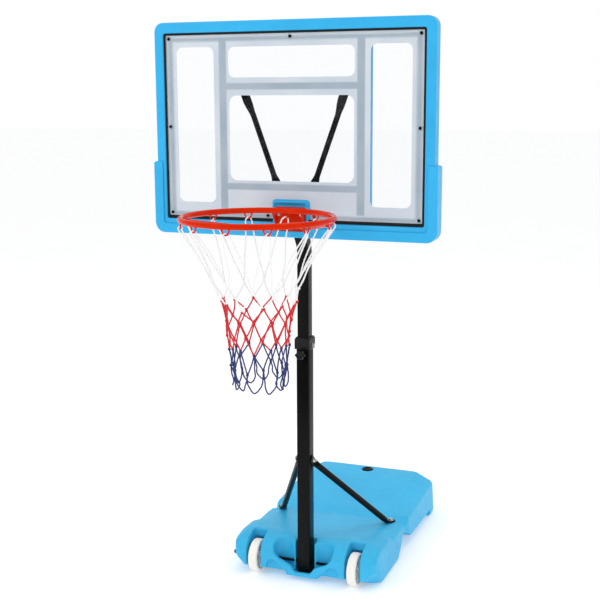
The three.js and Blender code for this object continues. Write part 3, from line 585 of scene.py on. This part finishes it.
def wheel(side):
    """A moulded wheel: crowned tread, recessed webs on both sides, a hub and radial ribs."""
    low, high = box_mm(f"{side}_wheel")
    middle = (low + high) / 2
    radius, half = (high.z - low.z) / 2, (high.x - low.x) / 2
    hub, rim, web = 11.5, radius - 9.5, 4.0
    face = [
        (4.15, half - 0.6), (4.8, half), (hub - 1, half), (hub, half - 1), (hub + 1.2, web + 1),
        (hub + 3, web), (rim - 3, web), (rim - 1, web + 1), (rim, half - 2.5), (rim + 1, half - 1.2),
        (radius - 4.5, half - 1.2), (radius - 2.2, half - 2.2), (radius - 0.7, half - 4.6),
        (radius - 0.1, half - 8), (radius, 0.9),
    ]
    profile = face + [(radius - 0.5, 0.4), (radius - 0.5, -0.4)] + [(r, -h) for r, h in face[::-1]]
    form = Form()
    form.lathe(middle, X_AXIS, profile, sides=72, close=True)
    rib_top = half - 3
    outline = rounded_rect(RIB_THIN, (rib_top - web) / 2 + 0.8, 0.9, 3)
    reach = (rim - hub) / 2 + 1.2
    for i in range(RIBS):
        turn = 2 * math.pi * (i + 0.25) / RIBS
        out = Vector((0, *polar(1, turn)))
        for sign in (-1, 1):
            at = middle + out * ((hub + rim) / 2) + X_AXIS * (sign * (web + rib_top) / 2)
            ends = [at - out * reach, at + out * reach]
            form.loft([loop_about(end, out.cross(X_AXIS), X_AXIS, outline) for end in ends])
    install(form.piece(f"{side}_wheel_moulding", white_plastic, sharp=35), f"{side}_wheel")


def axle_and_cap():
    low, high = box_mm("wheel_axle")
    radius, length = (high.z - low.z) / 2, high.x - low.x
    form = Form()
    form.lathe(Vector((low.x, 0, (low.z + high.z) / 2)), X_AXIS, [
        (radius - 1, 0), (radius - 0.2, 0.8), (radius, 1.2), (radius, length - 1.2), (radius - 1, length),
    ], 28)
    install(form.piece("axle_rod", black_paint), "wheel_axle")
    low, high = box_mm("axle_cap")
    radius, length, bore = (high.z - low.z) / 2, high.x - low.x, 4.2
    cap = Form()
    cap.lathe(Vector((high.x, 0, (low.z + high.z) / 2)), -X_AXIS, [
        (bore, 0), (radius, 0), (radius, 1), (radius - 0.5, 1.5), (radius - 0.9, 2.6), (radius - 1.2, 3.6),
        (radius - 2.2, length - 0.9), (radius - 3.6, length - 0.2), (1, length), (1, length - 1.4),
        (bore, length - 1.4),
    ], 36, close=True)
    install(cap.piece("axle_push_cap", black_plastic, 30), "axle_cap")


CAP_RIBS = 32


def filler_cap():
    """A screw cap with a ribbed skirt, a sunk face and a finger bar."""
    low, high = box_mm("filler_cap")
    middle = (low + high) / 2
    top, radius = high.z, (high.x - low.x) / 2
    form = Form()

    def ring(size, z, depth=0.0):
        ribbed = outline_by(96, lambda turn: size + depth * math.cos(CAP_RIBS * turn))
        return loop_about(Vector((middle.x, middle.y, z)), X_AXIS, Y_AXIS, ribbed)

    form.loft([ring(*loop) for loop in (
        (radius - 5, low.z), (radius - 4.2, low.z + 1), (radius - 4.2, top - 5.8),
        (radius - 0.6, top - 5.6), (radius - 0.35, top - 5, 0.3), (radius - 0.35, top - 1.6, 0.3),
        (radius - 0.9, top - 0.5), (radius - 1.8, top), (14, top), (13.2, top - 0.5), (12.6, top - 2.4),
        (11.6, top - 3), (3, top - 3),
    )])
    bar = rounded_rect(2.3, 1.6, 1.0, 3)
    stations = [(-12.8, 0.75), (-11.5, 1.0), (11.5, 1.0), (12.8, 0.75)]
    form.loft([loop_about(
        Vector((middle.x + x, middle.y, top - 2.2)), Y_AXIS, Z_AXIS,
        [(u * s, v * s) for u, v in bar]) for x, s in stations])
    install(form.piece("filler_screw_cap", black_plastic, 35), "filler_cap")


# ---- pole

TUBE_CORNER = 4.0
TUBE_WALL = 1.5
TUBE_STEP = 2.5  # the upper tube's half width below the lower one's
BEND_Z = 1018
BEND_ANGLE = math.radians(35)
BEND_RADIUS = 75
PLATE_THICK = 3.0
PLATE_Z = 1110
PLATE_HALF = (45, 38)


def square_loop(at, across, half, corner):
    return loop_about(at, X_AXIS, across, rounded_rect(half, half, corner))


def lower_tube():
    low, high = box_mm("lower_tube")
    half = (high.x - low.x) / 2

    def loops(size, corner, ends):
        return [square_loop(Vector((0, 0, z)), Y_AXIS, size - inset, corner) for z, inset in ends]

    ends = [(low.z, 0.3), (low.z + 0.4, 0), (high.z - 0.4, 0), (high.z, 0.3)]
    bare = [(z, 0) for z, _ in ends]
    form = Form()
    form.hollow(loops(half, TUBE_CORNER, ends), loops(half - TUBE_WALL, TUBE_CORNER - TUBE_WALL, bare))
    install(form.piece("pole_lower_tube", black_paint), "lower_tube")


def upper_tube():
    """The sliding tube: straight, then bent forward, welded to the plate behind the board."""
    low, high = box_mm("upper_tube")
    frame_low, frame_high = box_mm("lower_tube")
    half = (frame_high.x - frame_low.x) / 2 - TUBE_STEP
    plate_back = low.y + PLATE_THICK
    tangent_run = BEND_RADIUS * math.tan(BEND_ANGLE / 2)
    centre = Vector((0, -BEND_RADIUS, BEND_Z - tangent_run))
    stations = [(Vector((0, 0, z)), 0.0) for z in (low.z, low.z + 1, centre.z)]
    arc_steps = 12
    for i in range(1, arc_steps + 1):
        turn = BEND_ANGLE * i / arc_steps
        stations.append((centre + Vector((0, *polar(BEND_RADIUS, turn))), turn))
    forward = Vector((0, -math.sin(BEND_ANGLE), math.cos(BEND_ANGLE)))

    def loops(size, corner):
        rings = [square_loop(at, Vector((0, *polar(1, turn))), size, corner) for at, turn in stations]
        last = [p + forward * ((plate_back - 0.5 - p.y) / forward.y) for p in rings[-1]]
        return rings + [last]

    outer = loops(half, TUBE_CORNER)
    form = Form()
    form.hollow(outer, loops(half - TUBE_WALL, TUBE_CORNER - TUBE_WALL))
    bead = [Vector((p.x * 1.03, plate_back + 0.9, p.z)) for p in outer[-1]]
    path = smooth_path(bead, 3.0, closed=True)
    form.sweep(path, lambda s: circle(1.9 + 0.35 * math.sin(s * 1.6), 8), closed=True)
    form.slab(*PLATE_HALF, 6, low.y, plate_back, 0.5, middle=(0, PLATE_Z))
    install(form.piece("pole_upper_tube", black_paint), "upper_tube")


def height_knob():
    """A star knob on a threaded stud."""
    low, high = box_mm("height_knob")
    middle_z = (low.z + high.z) / 2
    radius = (high.z - low.z) / 2
    lobes = 6

    def star(depth, scale, wave):
        outline = outline_by(96, lambda turn: radius * scale - wave * (1 - math.cos(lobes * turn)) / 2)
        return loop_about(Vector((0, low.y + depth, middle_z)), X_AXIS, Z_AXIS, outline)

    form = Form()
    # Each loop: depth from the face, share of the radius, and how deep the hollows between lobes are.
    form.loft([star(*loop) for loop in (
        (3.4, 0.15, 0), (3.0, 0.32, 0), (1.4, 0.40, 0), (0.3, 0.47, 0.2), (0.0, 0.55, 0.5),
        (0.3, 0.72, 1.4), (1.2, 0.86, 2.6), (3.0, 0.96, 3.6), (5.5, 1.0, 4.0), (12.5, 1.0, 4.0),
        (14.6, 0.95, 3.4), (15.8, 0.84, 2.2), (16.0, 0.62, 0.4), (19.9, 0.56, 0), (20.0, 0.2, 0),
    )])
    start = Vector((0, low.y + 19, middle_z))
    form.lathe(start, Y_AXIS, thread_profile(3.8, high.y - start.y, 1.25), 24)
    install(form.piece("height_star_knob", black_plastic, 50), "height_knob")


# ---- struts and arms

TAB_HALF = 12.5
TAB_THIN = 2.25
STRUT_RADIUS = 9.5
STRUT_EASE = 22  # length over which a strut's flat end becomes round
FIT = 0.3
RIB_BACK = -81
TAB_TIP = [(-13.0, 0.62), (-12.0, 0.80), (-9.5, 0.96), (-7.0, 1.0)]  # distance past the bolt, width


def pressed_tube(stations, sides=32, spacing=5.0):
    """A round tube with ends pressed flat, blended smoothly from station to station.

    A station is a point, the directions along the tube and up, the half width, the half
    thickness, and 0 for a round section or 1 for a square one.
    """
    rings = []
    for here, there in zip(stations, stations[1:]):
        steps = max(2, round((there[0] - here[0]).length / spacing))
        rings += [between(here, there, k / steps) for k in range(steps)]
    rings.append(between(stations[-2], stations[-1], 1.0))
    form = Form()
    form.loft([pressed_ring(*ring, sides) for ring in rings])
    return form


def between(here, there, t):
    ease = t * t * (3 - 2 * t)
    directions = [here[i].lerp(there[i], ease) for i in (1, 2)]
    sizes = [here[i] + (there[i] - here[i]) * ease for i in (3, 4, 5)]
    return [here[0].lerp(there[0], t), *directions, *sizes]


def pressed_ring(at, along, up, wide, thin, square, sides):
    along = along.normalized()
    up = (up - along * up.dot(along)).normalized()
    power = 1.0 - 0.68 * square
    outline = []
    for i in range(sides):
        u, v = polar(1, 2 * math.pi * (i + 0.5) / sides)
        outline.append((
            wide * math.copysign(abs(u) ** power, u), thin * math.copysign(abs(v) ** power, v)))
    return loop_about(at, along.cross(up), up, outline)


def tab_stations(bolt, along, up, towards):
    """From a tab's free end, past its bolt, to where the round tube starts; towards is 1 or -1."""
    along = along.normalized()
    return [(bolt + along * (towards * d), along, up, TAB_HALF * w, TAB_THIN, 1.0)
            for d, w in TAB_TIP + [(13.0, 1.0)]]


def right_strut():
    low, high = box_mm("lower_tube")
    bolt_low, bolt_high = box_mm("brace_top_bolt")
    foot_low, foot_high = box_mm("right_brace_foot_bolt")
    top_bolt = Vector((high.x + FIT + TAB_THIN, 0, (bolt_low.z + bolt_high.z) / 2))
    foot_xy = ((foot_low + foot_high) / 2).xy
    strut_low, _ = box_mm("right_brace")
    foot_bolt = Vector((foot_xy.x, foot_xy.y, strut_low.z + TAB_THIN))
    top_tab = tab_stations(top_bolt, Vector((0, 0.727, -0.686)), -X_AXIS, 1)
    foot_tab = tab_stations(foot_bolt, Vector((0.494, 0.869, 0)), -Z_AXIS, -1)[::-1]
    top_end, foot_end = top_tab[-1][0], foot_tab[0][0]
    run = (foot_end - top_end).normalized()
    rounds = [
        (top_end + run * STRUT_EASE, run, -X_AXIS, STRUT_RADIUS, STRUT_RADIUS, 0),
        (foot_end - run * STRUT_EASE, run, -Z_AXIS, STRUT_RADIUS, STRUT_RADIUS, 0),
    ]
    return pressed_tube(top_tab + rounds + foot_tab)


ARM_RADIUS = 8.0
PRESSED_THIN = 3.0
PRESSED_RUN = 40  # how far an arm stays flat above its bend
ARM_EASE = 26
ARM_PLANE_Y = -70


def right_arm():
    """A board arm: tab on the pole, turned flat behind the board, then round, with a flat top."""
    bolt_low, bolt_high = box_mm("arm_pole_bolt")
    pole_bolt = (bolt_low + bolt_high) / 2
    seat_low, seat_high = box_mm("right_arm_board_bolt")
    seat = (seat_low + seat_high) / 2
    arm_low, _ = box_mm("right_board_arm")
    pole_bolt.x = arm_low.x + TAB_THIN
    board_bolt = Vector((seat.x, RIB_BACK + FIT + TAB_THIN, seat.z))
    bend, end = Vector((43, ARM_PLANE_Y, 1166)), Vector((147, ARM_PLANE_Y, 1453))
    run = (end - bend).normalized()
    side_tab = tab_stations(pole_bolt, Vector((0, -0.13, 0.99)), -X_AXIS, 1)

    def pressed(at, width=1.0, thin=PRESSED_THIN):
        return (at, run, -X_AXIS, thin, TAB_HALF * width, 1.0)

    def tube(at):
        return (at, run, -X_AXIS, ARM_RADIUS, ARM_RADIUS, 0.0)

    flat = [pressed(bend), pressed(bend + run * PRESSED_RUN)]
    ease = run * (PRESSED_RUN + ARM_EASE)
    rounds = [tube(bend + ease), tube(end - ease)]
    tip = [(-42, 1.0)] + [(-d, w) for d, w in TAB_TIP[::-1]]
    back_tab = [pressed(board_bolt + run * d, w, TAB_THIN) for d, w in tip]
    return pressed_tube(side_tab + flat + rounds + back_tab)


def struts_and_arms():
    parts = ((right_strut, "brace", "strut"), (right_arm, "board_arm", "board_support"))
    for builder, node, name in parts:
        right = builder()
        for side, form in (("right", right), ("left", right.mirrored())):
            install(form.piece(f"{side}_{name}", black_paint, 50), f"{side}_{node}")


# ---- fasteners


def thread_profile(radius, length, pitch):
    """Radius and height points of a threaded stud with a chamfered end."""
    profile = [(radius, 0.0)]
    for i in range(int((length - 1.2) / pitch)):
        profile.append((radius, (i + 0.25) * pitch))
        profile.append((radius - 0.55, (i + 0.75) * pitch))
    profile.append((radius, length - 1.0))
    profile.append((radius - 0.9, length))
    return profile


HEX_SIDES = 48
HEX_FLATS = 3.3  # width across flats, in shank radii


def hex_loops(seat, axis, flats, height, chamfer_both=False):
    """Loops of a hexagon whose corners are cut by a turned chamfer."""
    loops = []
    for level in (0, 0.06, 0.14, 0.5, 0.80, 0.88, 0.94, 1.0):
        distance = (1 - level) * height
        if chamfer_both:
            distance = min(distance, level * height)
        limit = flats / 2 * 0.96 + distance * 1.9

        def size(turn):
            wedge = (turn + math.pi / 6) % (math.pi / 3) - math.pi / 6
            return min(flats / 2 / math.cos(wedge), limit)

        at = seat + axis * (level * height)
        loops.append(loop_about(at, *across_axes(axis), outline_by(HEX_SIDES, size)))
    return loops


def box_along(node, out):
    """The middle of a node's box, and its reach from there along a unit direction."""
    low, high = box_mm(node)
    middle = (low + high) / 2
    reach = sum(abs(out[i]) * (high[i] - low[i]) / 2 for i in range(3))
    return middle, reach


def bolt(node, out, shank, washer=0.0):
    """A hex bolt whose head looks along out, filling the CAD bolt's length."""
    middle, reach = box_along(node, out)
    head, washer_thick = shank * 1.35, 1.5 if washer else 0.0
    seat = middle + out * (reach - head - washer_thick)
    form = Form()
    form.loft(hex_loops(seat + out * washer_thick, out, shank * HEX_FLATS, head))
    if washer:
        form.lathe(seat, out, [
            (shank, 0), (washer - 0.3, 0), (washer, 0.4), (washer, 1.1), (washer - 0.4, washer_thick),
            (shank, washer_thick)], 40)
    length = 2 * reach - head - washer_thick
    form.lathe(seat, -out, thread_profile(shank, length, shank * 0.32), 24)
    install(form.piece(f"{node}_hex", zinc_steel, 30), node)


def nut(node, out, flats, bore, material):
    middle, reach = box_along(node, out)
    seat = middle - out * reach
    loops = hex_loops(seat, out, flats, 2 * reach, chamfer_both=True)
    hole = circle(bore, HEX_SIDES)
    inner = [loop_about(seat + out * h, *across_axes(out), hole) for h in (0, 2 * reach)]
    form = Form()
    form.hollow(loops, inner)
    install(form.piece(f"{node}_hex", material, 30), node)


def fasteners():
    shank, small, play = 3.9, 3.1, 0.1
    bolt("collar_bolt", X_AXIS, shank, washer=8)
    bolt("brace_top_bolt", -X_AXIS, shank, washer=8)
    nut("brace_top_nut", X_AXIS, shank * HEX_FLATS, shank + play, zinc_steel)
    bolt("arm_pole_bolt", -X_AXIS, shank)
    nut("arm_pole_nut", X_AXIS, shank * HEX_FLATS, shank + play, zinc_steel)
    for side in ("left", "right"):
        bolt(f"{side}_brace_foot_bolt", Z_AXIS, shank, washer=9)
        bolt(f"{side}_arm_board_bolt", Y_AXIS, small)
    for i in range(1, 5):
        bolt(f"rim_bolt_{i}", -Y_AXIS, small)
        nut(f"rim_nut_{i}", Y_AXIS, small * HEX_FLATS, small + play, zinc_steel)
    nut("knob_nut", -Y_AXIS, 14, 4.1, black_paint)


CROSS_REACH, CROSS_HALF, CROSS_DEPTH = 2.2, 0.5, 1.1


def sheet_screw(node):
    """A pan head screw with a cross recess."""
    low, high = box_mm(node)
    x, z = (low.x + high.x) / 2, (low.z + high.z) / 2
    radius = (high.x - low.x) / 2
    levels = [(0.35, 0.0), (0.8, 0.0), (1.3, 0.0), (1.9, 0.03), (2.5, 0.08), (3.2, 0.3), (3.9, 0.75),
              (radius, 1.5), (radius, 2.1)]
    form = Form()
    loops = []
    for size, depth in levels:
        loop = []
        for u, v in circle(size, 32):
            in_cross = size < CROSS_REACH and min(abs(u), abs(v)) < CROSS_HALF
            loop.append(Vector((x + u, low.y + depth + (CROSS_DEPTH if in_cross else 0), z + v)))
        loops.append(loop)
    form.loft(loops)
    stem = Vector((x, low.y + 2, z))
    form.lathe(stem, Y_AXIS, thread_profile(1.6, high.y - stem.y, 1.4), 16)
    install(form.piece(f"{node}_pan", black_paint, 35), node)


# ---- board

WINDOW_CORNER = 18
SIDE_WINDOW = (229, 343, 1148, 1580)
TOP_WINDOW = (-184, 184, 1496, 1579)
CENTRE_WINDOW = (-183, 183, 1212, 1447)
PANEL_THICK = 2.3
PRINT_GAP = 0.25
NOTCH_HALF, NOTCH_TOP = 53, 1159


def window_outline(x_low, x_high, z_low, z_high, corner):
    half_u, half_v = (x_high - x_low) / 2, (z_high - z_low) / 2
    middle = ((x_low + x_high) / 2, (z_low + z_high) / 2)
    return [(middle[0] + u, middle[1] + v) for u, v in rounded_rect(half_u, half_v, corner, 8)]


def sheet_outline():
    """The panel's outline with the notch that clears the rim's seat."""
    low, high = box_mm("board_sheet")
    return [(high.x, low.z), (high.x, high.z), (low.x, high.z), (low.x, low.z),
            (-NOTCH_HALF, low.z), (-NOTCH_HALF, NOTCH_TOP), (NOTCH_HALF, NOTCH_TOP), (NOTCH_HALF, low.z)]


def flat_sheet(name, outlines, front, back, material):
    """A flat sheet in x and z with holes, from its outline and the outlines of its holes."""
    curve = bpy.data.curves.new(name, "CURVE")
    curve.dimensions = "2D"
    curve.fill_mode = "BOTH"
    curve.extrude = (back - front) / 2 * MM
    for outline in outlines:
        spline = curve.splines.new("POLY")
        spline.points.add(len(outline) - 1)
        for point, (u, v) in zip(spline.points, outline):
            point.co = (u * MM, v * MM, 0, 1)
        spline.use_cyclic_u = True
    shell = linked(name, curve)
    mesh = evaluated_mesh(shell)
    bpy.data.objects.remove(shell)
    upright = Matrix.Rotation(math.radians(90), 4, "X")
    mesh.transform(Matrix.Translation((0, (front + back) / 2 * MM, 0)) @ upright)
    return finish_piece(name, closed(welded(mesh), mesh), material, 30)


def board_sheet():
    low, high = box_mm("board_sheet")
    panel_back = low.y + PANEL_THICK
    panel = flat_sheet("clear_board_panel", [sheet_outline()], low.y, panel_back, clear_panel)
    install(panel, "board_sheet")
    x_low, x_high, z_low, z_high = SIDE_WINDOW
    windows = [
        window_outline(x_low, x_high, z_low, z_high, WINDOW_CORNER),
        window_outline(-x_high, -x_low, z_low, z_high, WINDOW_CORNER),
        window_outline(*TOP_WINDOW, WINDOW_CORNER),
        window_outline(*CENTRE_WINDOW, WINDOW_CORNER + 4),
    ]
    bottom, top, edge = low.z, high.z, high.x
    # Each band: from and to across from the middle, from and to in height, and how soft its edge is.
    bands = [
        (191, 213, bottom + 16, top - 8, 2.5), (-9, 200, 1463, 1481, 2.5), (-9, 200, 1186, 1204, 2.5),
        (edge - 20, edge - 5, bottom + 4, top - 5, 5), (-9, edge - 10, top - 18, top - 7, 5),
        (-9, edge - 10, bottom + 3, bottom + 12, 4),
    ]
    outlines = [sheet_outline()] + windows
    film = flat_sheet("printed_film", outlines, panel_back + PRINT_GAP, high.y, printed_border(bands))
    install(film, "board_sheet")


def board():
    for node, name, voxel_mm, passes in (
        ("board_frame", "board_moulding", 2.5, 6),
        ("bottom_guard", "guard_moulding", 1.8, 4),
    ):
        install(remeshed(welded_copy(node), name, frame_plastic, voxel_mm, passes), node)
    board_sheet()
    # The black edge trim is partly a real rubber strip and partly painted shade for the dark gap between
    # frame and sheet.
    bevelled("sheet_edge_trim", "rubber_edge_strip_and_gap_shade", trim_rubber_and_gap_shade, 0.6)
    for i in range(1, 10):
        sheet_screw(f"sheet_screw_{i}")


# ---- rim

RING_TUBE = 8.0
HOOKS = 12
HOOK_WIRE = 2.0
HOOK_HALF = 10
HOOK_DROP = 13
WELD_BEAD = [(0, 0), (0.7, 0.8), (1.7, 1.8), (2.4, 3.4)]
ROD_RADIUS = 3.0
ROD_TURN = math.radians(-5)  # where a brace rod meets the ring


def ring_place():
    """The ring's centre and centreline radius, from the net's and the ring's boxes."""
    net_low, net_high = box_mm("net")
    ring_low, ring_high = box_mm("rim_ring")
    middle = (net_low + net_high) / 2
    centre = Vector((middle.x, middle.y, ring_high.z - RING_TUBE))
    return centre, (ring_high.x - ring_low.x) / 2 - RING_TUBE


def ring_point(turn, radius, z):
    centre, _ = ring_place()
    u, v = polar(radius, turn)
    return Vector((centre.x + u, centre.y + v, z))


def hook_turn(index):
    return 2 * math.pi * index / HOOKS + math.pi / 2


def hook_axes(index):
    """Unit directions outward through a hook and along the ring there."""
    u, v = polar(1, hook_turn(index))
    return Vector((u, v, 0)), Vector((-v, u, 0))


def rim_ring():
    """The ring's tube with a row of welded wire eyes below it."""
    centre, radius = ring_place()
    form = Form()
    steps = 180
    path = [ring_point(2 * math.pi * i / steps, radius, centre.z) for i in range(steps)]
    form.sweep(path, lambda s: circle(RING_TUBE, 28), closed=True)
    for index in range(HOOKS):
        out, side = hook_axes(index)
        shape = [(-HOOK_HALF, 3), (-HOOK_HALF + 0.4, -3), (-7.6, -7.5), (-5, -11), (-2, -HOOK_DROP)]
        shape += [(-u, v) for u, v in shape[::-1]]
        at = centre + out * radius - Z_AXIS * RING_TUBE
        wire = smooth_path(loop_about(at, side, Z_AXIS, shape), 2.0)
        form.sweep(wire, lambda s: circle(HOOK_WIRE, 12))
        for sign in (-1, 1):
            weld = at + side * (sign * (HOOK_HALF - 0.2)) - Z_AXIS * 2
            form.lathe(weld, Z_AXIS, [(HOOK_WIRE + grow, rise) for grow, rise in WELD_BEAD], 14)
    install(form.piece("hoop_ring", red_paint, 60), "rim_ring")


def rim_braces():
    """Thin rods from the bracket's foot to the ring's sides, with weld beads at both ends."""
    low, high = box_mm("right_rim_brace")
    start = Vector((low.x + 1.5, high.y - 2.6, low.z + 3.0))
    centre, radius = ring_place()
    end = ring_point(ROD_TURN, radius, centre.z - RING_TUBE - 2)
    run = (end - start).normalized()
    finish = end - run * 4.5
    form = Form()
    form.sweep(smooth_path([start, start.lerp(finish, 0.5), finish], 6.0), lambda s: circle(ROD_RADIUS, 20))
    bead = [(ROD_RADIUS, 0), (3.8, 1.2), (4.2, 2.6), (3.8, 4.0), (ROD_RADIUS, 5.4)]
    form.lathe(finish - run * 5, run, bead, 20)
    form.lathe(start + run * 0.4, run, bead, 20)
    for side, rod in (("right", form), ("left", form.mirrored())):
        install(rod.piece(f"{side}_ring_brace", red_paint, 60), f"{side}_rim_brace")


# ---- net

CORD = 1.95
CORD_LOBES = 3
CORD_PITCH = 13.0
KNOT_RADIUS = 2.6


def cord_section(distance):
    """A laid cord's outline: three strands that twist along its length."""
    twist = 2 * math.pi * distance / CORD_PITCH
    return outline_by(9, lambda turn: CORD * (1 + 0.13 * math.cos(CORD_LOBES * turn + twist)))


def add_cord(form, controls):
    form.sweep(smooth_path(controls, 3.0), cord_section)


def add_knot(form, at, axis):
    """A small knot: two turns of the cord round the crossing."""
    first, second = across_axes(axis)
    axis = axis.normalized()
    turns, steps, rise = 2.2, 26, 3.0
    path = []
    for i in range(steps + 1):
        share = i / steps
        turn = 2 * math.pi * turns * share
        u, v = polar(KNOT_RADIUS * math.sin(math.pi * min(1, 0.25 + share * 0.6)), turn)
        path.append(at + first * u + second * v + axis * (rise * (share * 2 - 1)))
    form.sweep(path, lambda s: circle(CORD * 0.92, 8))


def net():
    """A knotted cord net: white loops over the hooks, red and blue meshes, and free blue loops below."""
    chance = random.Random(LOOKS_SEED)
    centre, radius = ring_place()
    # Each row of knots: height, radius and how far it is turned from the hooks, in hook spacings.
    rows = [(952, 110, 0.5), (914, 99, 0.0), (876, 91, 0.5), (838, 84, 0.0), (796, 78, 0.5), (746, 77, 0.0)]
    colours = ["white", "red", "red", "red", "blue", "blue"]
    forms = {"white": Form(), "red": Form(), "blue": Form()}

    def wobble(spread):
        return chance.uniform(-spread, spread)

    def inward(point):
        return Vector((centre.x - point.x, centre.y - point.y, 0)).normalized()

    knots = []
    for z, size, offset in rows:
        row = []
        for i in range(HOOKS):
            turn = hook_turn(i + offset + wobble(0.09))
            row.append(ring_point(turn, size + wobble(5), z + wobble(10)))
        knots.append(row)

    hook_z = centre.z - RING_TUBE - HOOK_DROP + HOOK_WIRE + CORD
    for i in range(HOOKS):
        out, side = hook_axes(i)
        top = Vector((centre.x, centre.y, hook_z)) + out * radius
        lean = wobble(2)
        over = [top + side * a + out * b + Z_AXIS * c for a, b, c in (
            (-9 - lean, 3, -12), (-4, 4.6, -2.8), (0, 0, 0.4), (4, -4.6, -2.8), (9 - lean, -5, -12))]
        ends = [knots[0][(i - 1) % HOOKS], knots[0][i]]

        def strands_and_crevice_shade(start, end):
            return [start.lerp(end, share) + inward(start) * (sag + wobble(2.5)) + side * wobble(2.5)
                    for share, sag in ((0.3, 5.0), (0.62, 4.0), (0.86, 0.5))]

        left = strands_and_crevice_shade(over[0], ends[0])[::-1]
        right = strands_and_crevice_shade(over[-1], ends[1])
        add_cord(forms["white"], [ends[0]] + left + over + right + [ends[1]])

    def link(form, start, end):
        bow = inward(start.lerp(end, 0.5)) * (1.2 + wobble(2)) + Vector((wobble(2), wobble(2), -0.6))
        add_cord(form, [start, start.lerp(end, 0.3) + bow * 0.8, start.lerp(end, 0.72) + bow * 0.8, end])

    for level in range(len(rows) - 1):
        form = forms[colours[level]]
        shift = 1 if rows[level][2] else -1
        for i in range(HOOKS):
            link(form, knots[level][i], knots[level + 1][i])
            link(form, knots[level][i], knots[level + 1][(i + shift) % HOOKS])
    for level, row in enumerate(knots):
        for knot in row:
            down = Vector((wobble(0.3), wobble(0.3), 1))
            add_knot(forms[colours[level]], knot, down)

    bottom = box_mm("net")[0].z
    last = knots[-1]
    for i in range(HOOKS):
        start, end = last[i], last[(i + 1) % HOOKS]
        turn = hook_turn(i + 0.5 + wobble(0.12))
        low_z = bottom + 3 + chance.uniform(0, 14)
        size = 74 + wobble(14)
        low_point = ring_point(turn, size, low_z)
        spread = 0.34 + chance.uniform(0, 0.2)
        left, right = [
            ring_point(hook_turn(i + 0.5 + side), size + wobble(4), low_z + 14 + chance.uniform(0, 8))
            for side in (-spread, spread)]
        add_cord(forms["blue"], [
            start, start.lerp(left, 0.55) + Vector((wobble(3), wobble(3), 0)), left, low_point,
            right, end.lerp(right, 0.55) + Vector((wobble(3), wobble(3), 0)), end])
    for colour, material in (("white", white_cord), ("red", red_cord), ("blue", blue_cord)):
        install(forms[colour].piece(f"net_{colour}_cord", material, 80), "net")


# ---- floor, light and camera

AMBIENT = 0.85
FLOOR_GLOW = 0.27  # lifts the far floor to the backdrop's white
ROOM_GLOSS = (0.15, 0.75)  # what reflections see in front, and behind or above
FLOOR_REACH = 40  # metres
CAMERA_PLACE = (1.1154, -2.9810, 1.4513)
CAMERA_LENS = 66.7
CAMERA_TURNS = (20.76, 10.52, -0.29)  # yaw, pitch and roll in degrees


def studio():
    """A plain pale floor under soft light, seen from the photographed angle."""
    floor_mesh = bpy.data.meshes.new("floor")
    corners = [(FLOOR_REACH * u, FLOOR_REACH * v, 0) for u, v in ((-1, -1), (1, -1), (1, 1), (-1, 1))]
    floor_mesh.from_pydata(corners, [], [(0, 1, 2, 3)])
    floor_finish = Finish("pale_floor")
    dust = floor_finish.remap(floor_finish.noise(400, 3), 0.3, 0.7, 0.84, 0.86)
    floor_finish.set(Base_Color=floor_finish.mix(dust, (0, 0, 0, 1), (1, 1, 1, 1)), Roughness=0.9)
    floor_finish.set(Emission_Color=(1, 1, 1, 1), Emission_Strength=FLOOR_GLOW)
    floor_mesh.materials.append(floor_finish.material)
    floor = linked("floor", floor_mesh)
    floor.location.z = -0.0005

    world = bpy.data.worlds.new("studio")
    world.use_nodes = True
    bpy.context.scene.world = world
    sky = Graph(world.node_tree)
    split = sky.add("ShaderNodeSeparateXYZ", {0: sky.add("ShaderNodeTexCoord").outputs["Generated"]})
    behind = sky.remap(split.outputs["Y"], -0.3, 0.7, *ROOM_GLOSS)
    above = sky.remap(split.outputs["Z"], 0.45, 0.95, *ROOM_GLOSS)
    room = sky.maths("MAXIMUM", behind, above)
    rays = sky.add("ShaderNodeLightPath").outputs

    def glow(colour, strength):
        return sky.add("ShaderNodeBackground", {"Color": colour, "Strength": strength}).outputs[0]

    def choose(rays_of, other, own):
        return sky.add("ShaderNodeMixShader", {0: rays[rays_of], 1: other, 2: own}).outputs[0]

    matt, glossy = glow((0.985, 0.993, 1.0, 1), AMBIENT), glow((1, 1, 1, 1), room)
    lit = choose("Is Glossy Ray", matt, glossy)
    seen = choose("Is Camera Ray", lit, glow((1, 1, 1, 1), 1.0))
    sky.feed(sky.nodes["World Output"].inputs["Surface"], seen)

    aim = Vector((0, -0.05, 0.8))
    for name, place, size, power in (
        ("key", (-2.4, -3.2, 3.4), 1.6, 34),
        ("fill", (3.2, -2.2, 2.0), 2.4, 6),
        ("top", (0.4, 0.8, 4.2), 2.6, 26),
    ):
        data = bpy.data.lights.new(name, "AREA")
        data.energy = power
        data.size = size
        lamp = linked(name, data)
        lamp.location = place
        lamp.rotation_euler = (aim - Vector(place)).to_track_quat("-Z", "Y").to_euler()

    data = bpy.data.cameras.new("camera")
    data.sensor_width = 36.0
    data.lens = CAMERA_LENS
    camera = linked("camera", data)
    yaw, pitch, roll = (math.radians(turn) for turn in CAMERA_TURNS)
    camera.matrix_world = (
        Matrix.Translation(CAMERA_PLACE) @ Matrix.Rotation(yaw, 4, "Z")
        @ Matrix.Rotation(math.pi / 2 - pitch, 4, "X") @ Matrix.Rotation(roll, 4, "Z"))
    bpy.context.scene.camera = camera
    bpy.context.scene.view_settings.view_transform = "Standard"


# ---- assembly

base_tank()
wheel("left")
wheel("right")
axle_and_cap()
filler_cap()
lower_tube()
upper_tube()
bevelled("foot_plug", "pole_foot_plug", black_plastic, 0.6)
bevelled("height_collar", "pole_collar", black_plastic, 1.2)
height_knob()
struts_and_arms()
fasteners()
board()
rim_ring()
bevelled("rim_bracket", "ring_bracket", red_paint, 0.9)
rim_braces()
net()
studio()
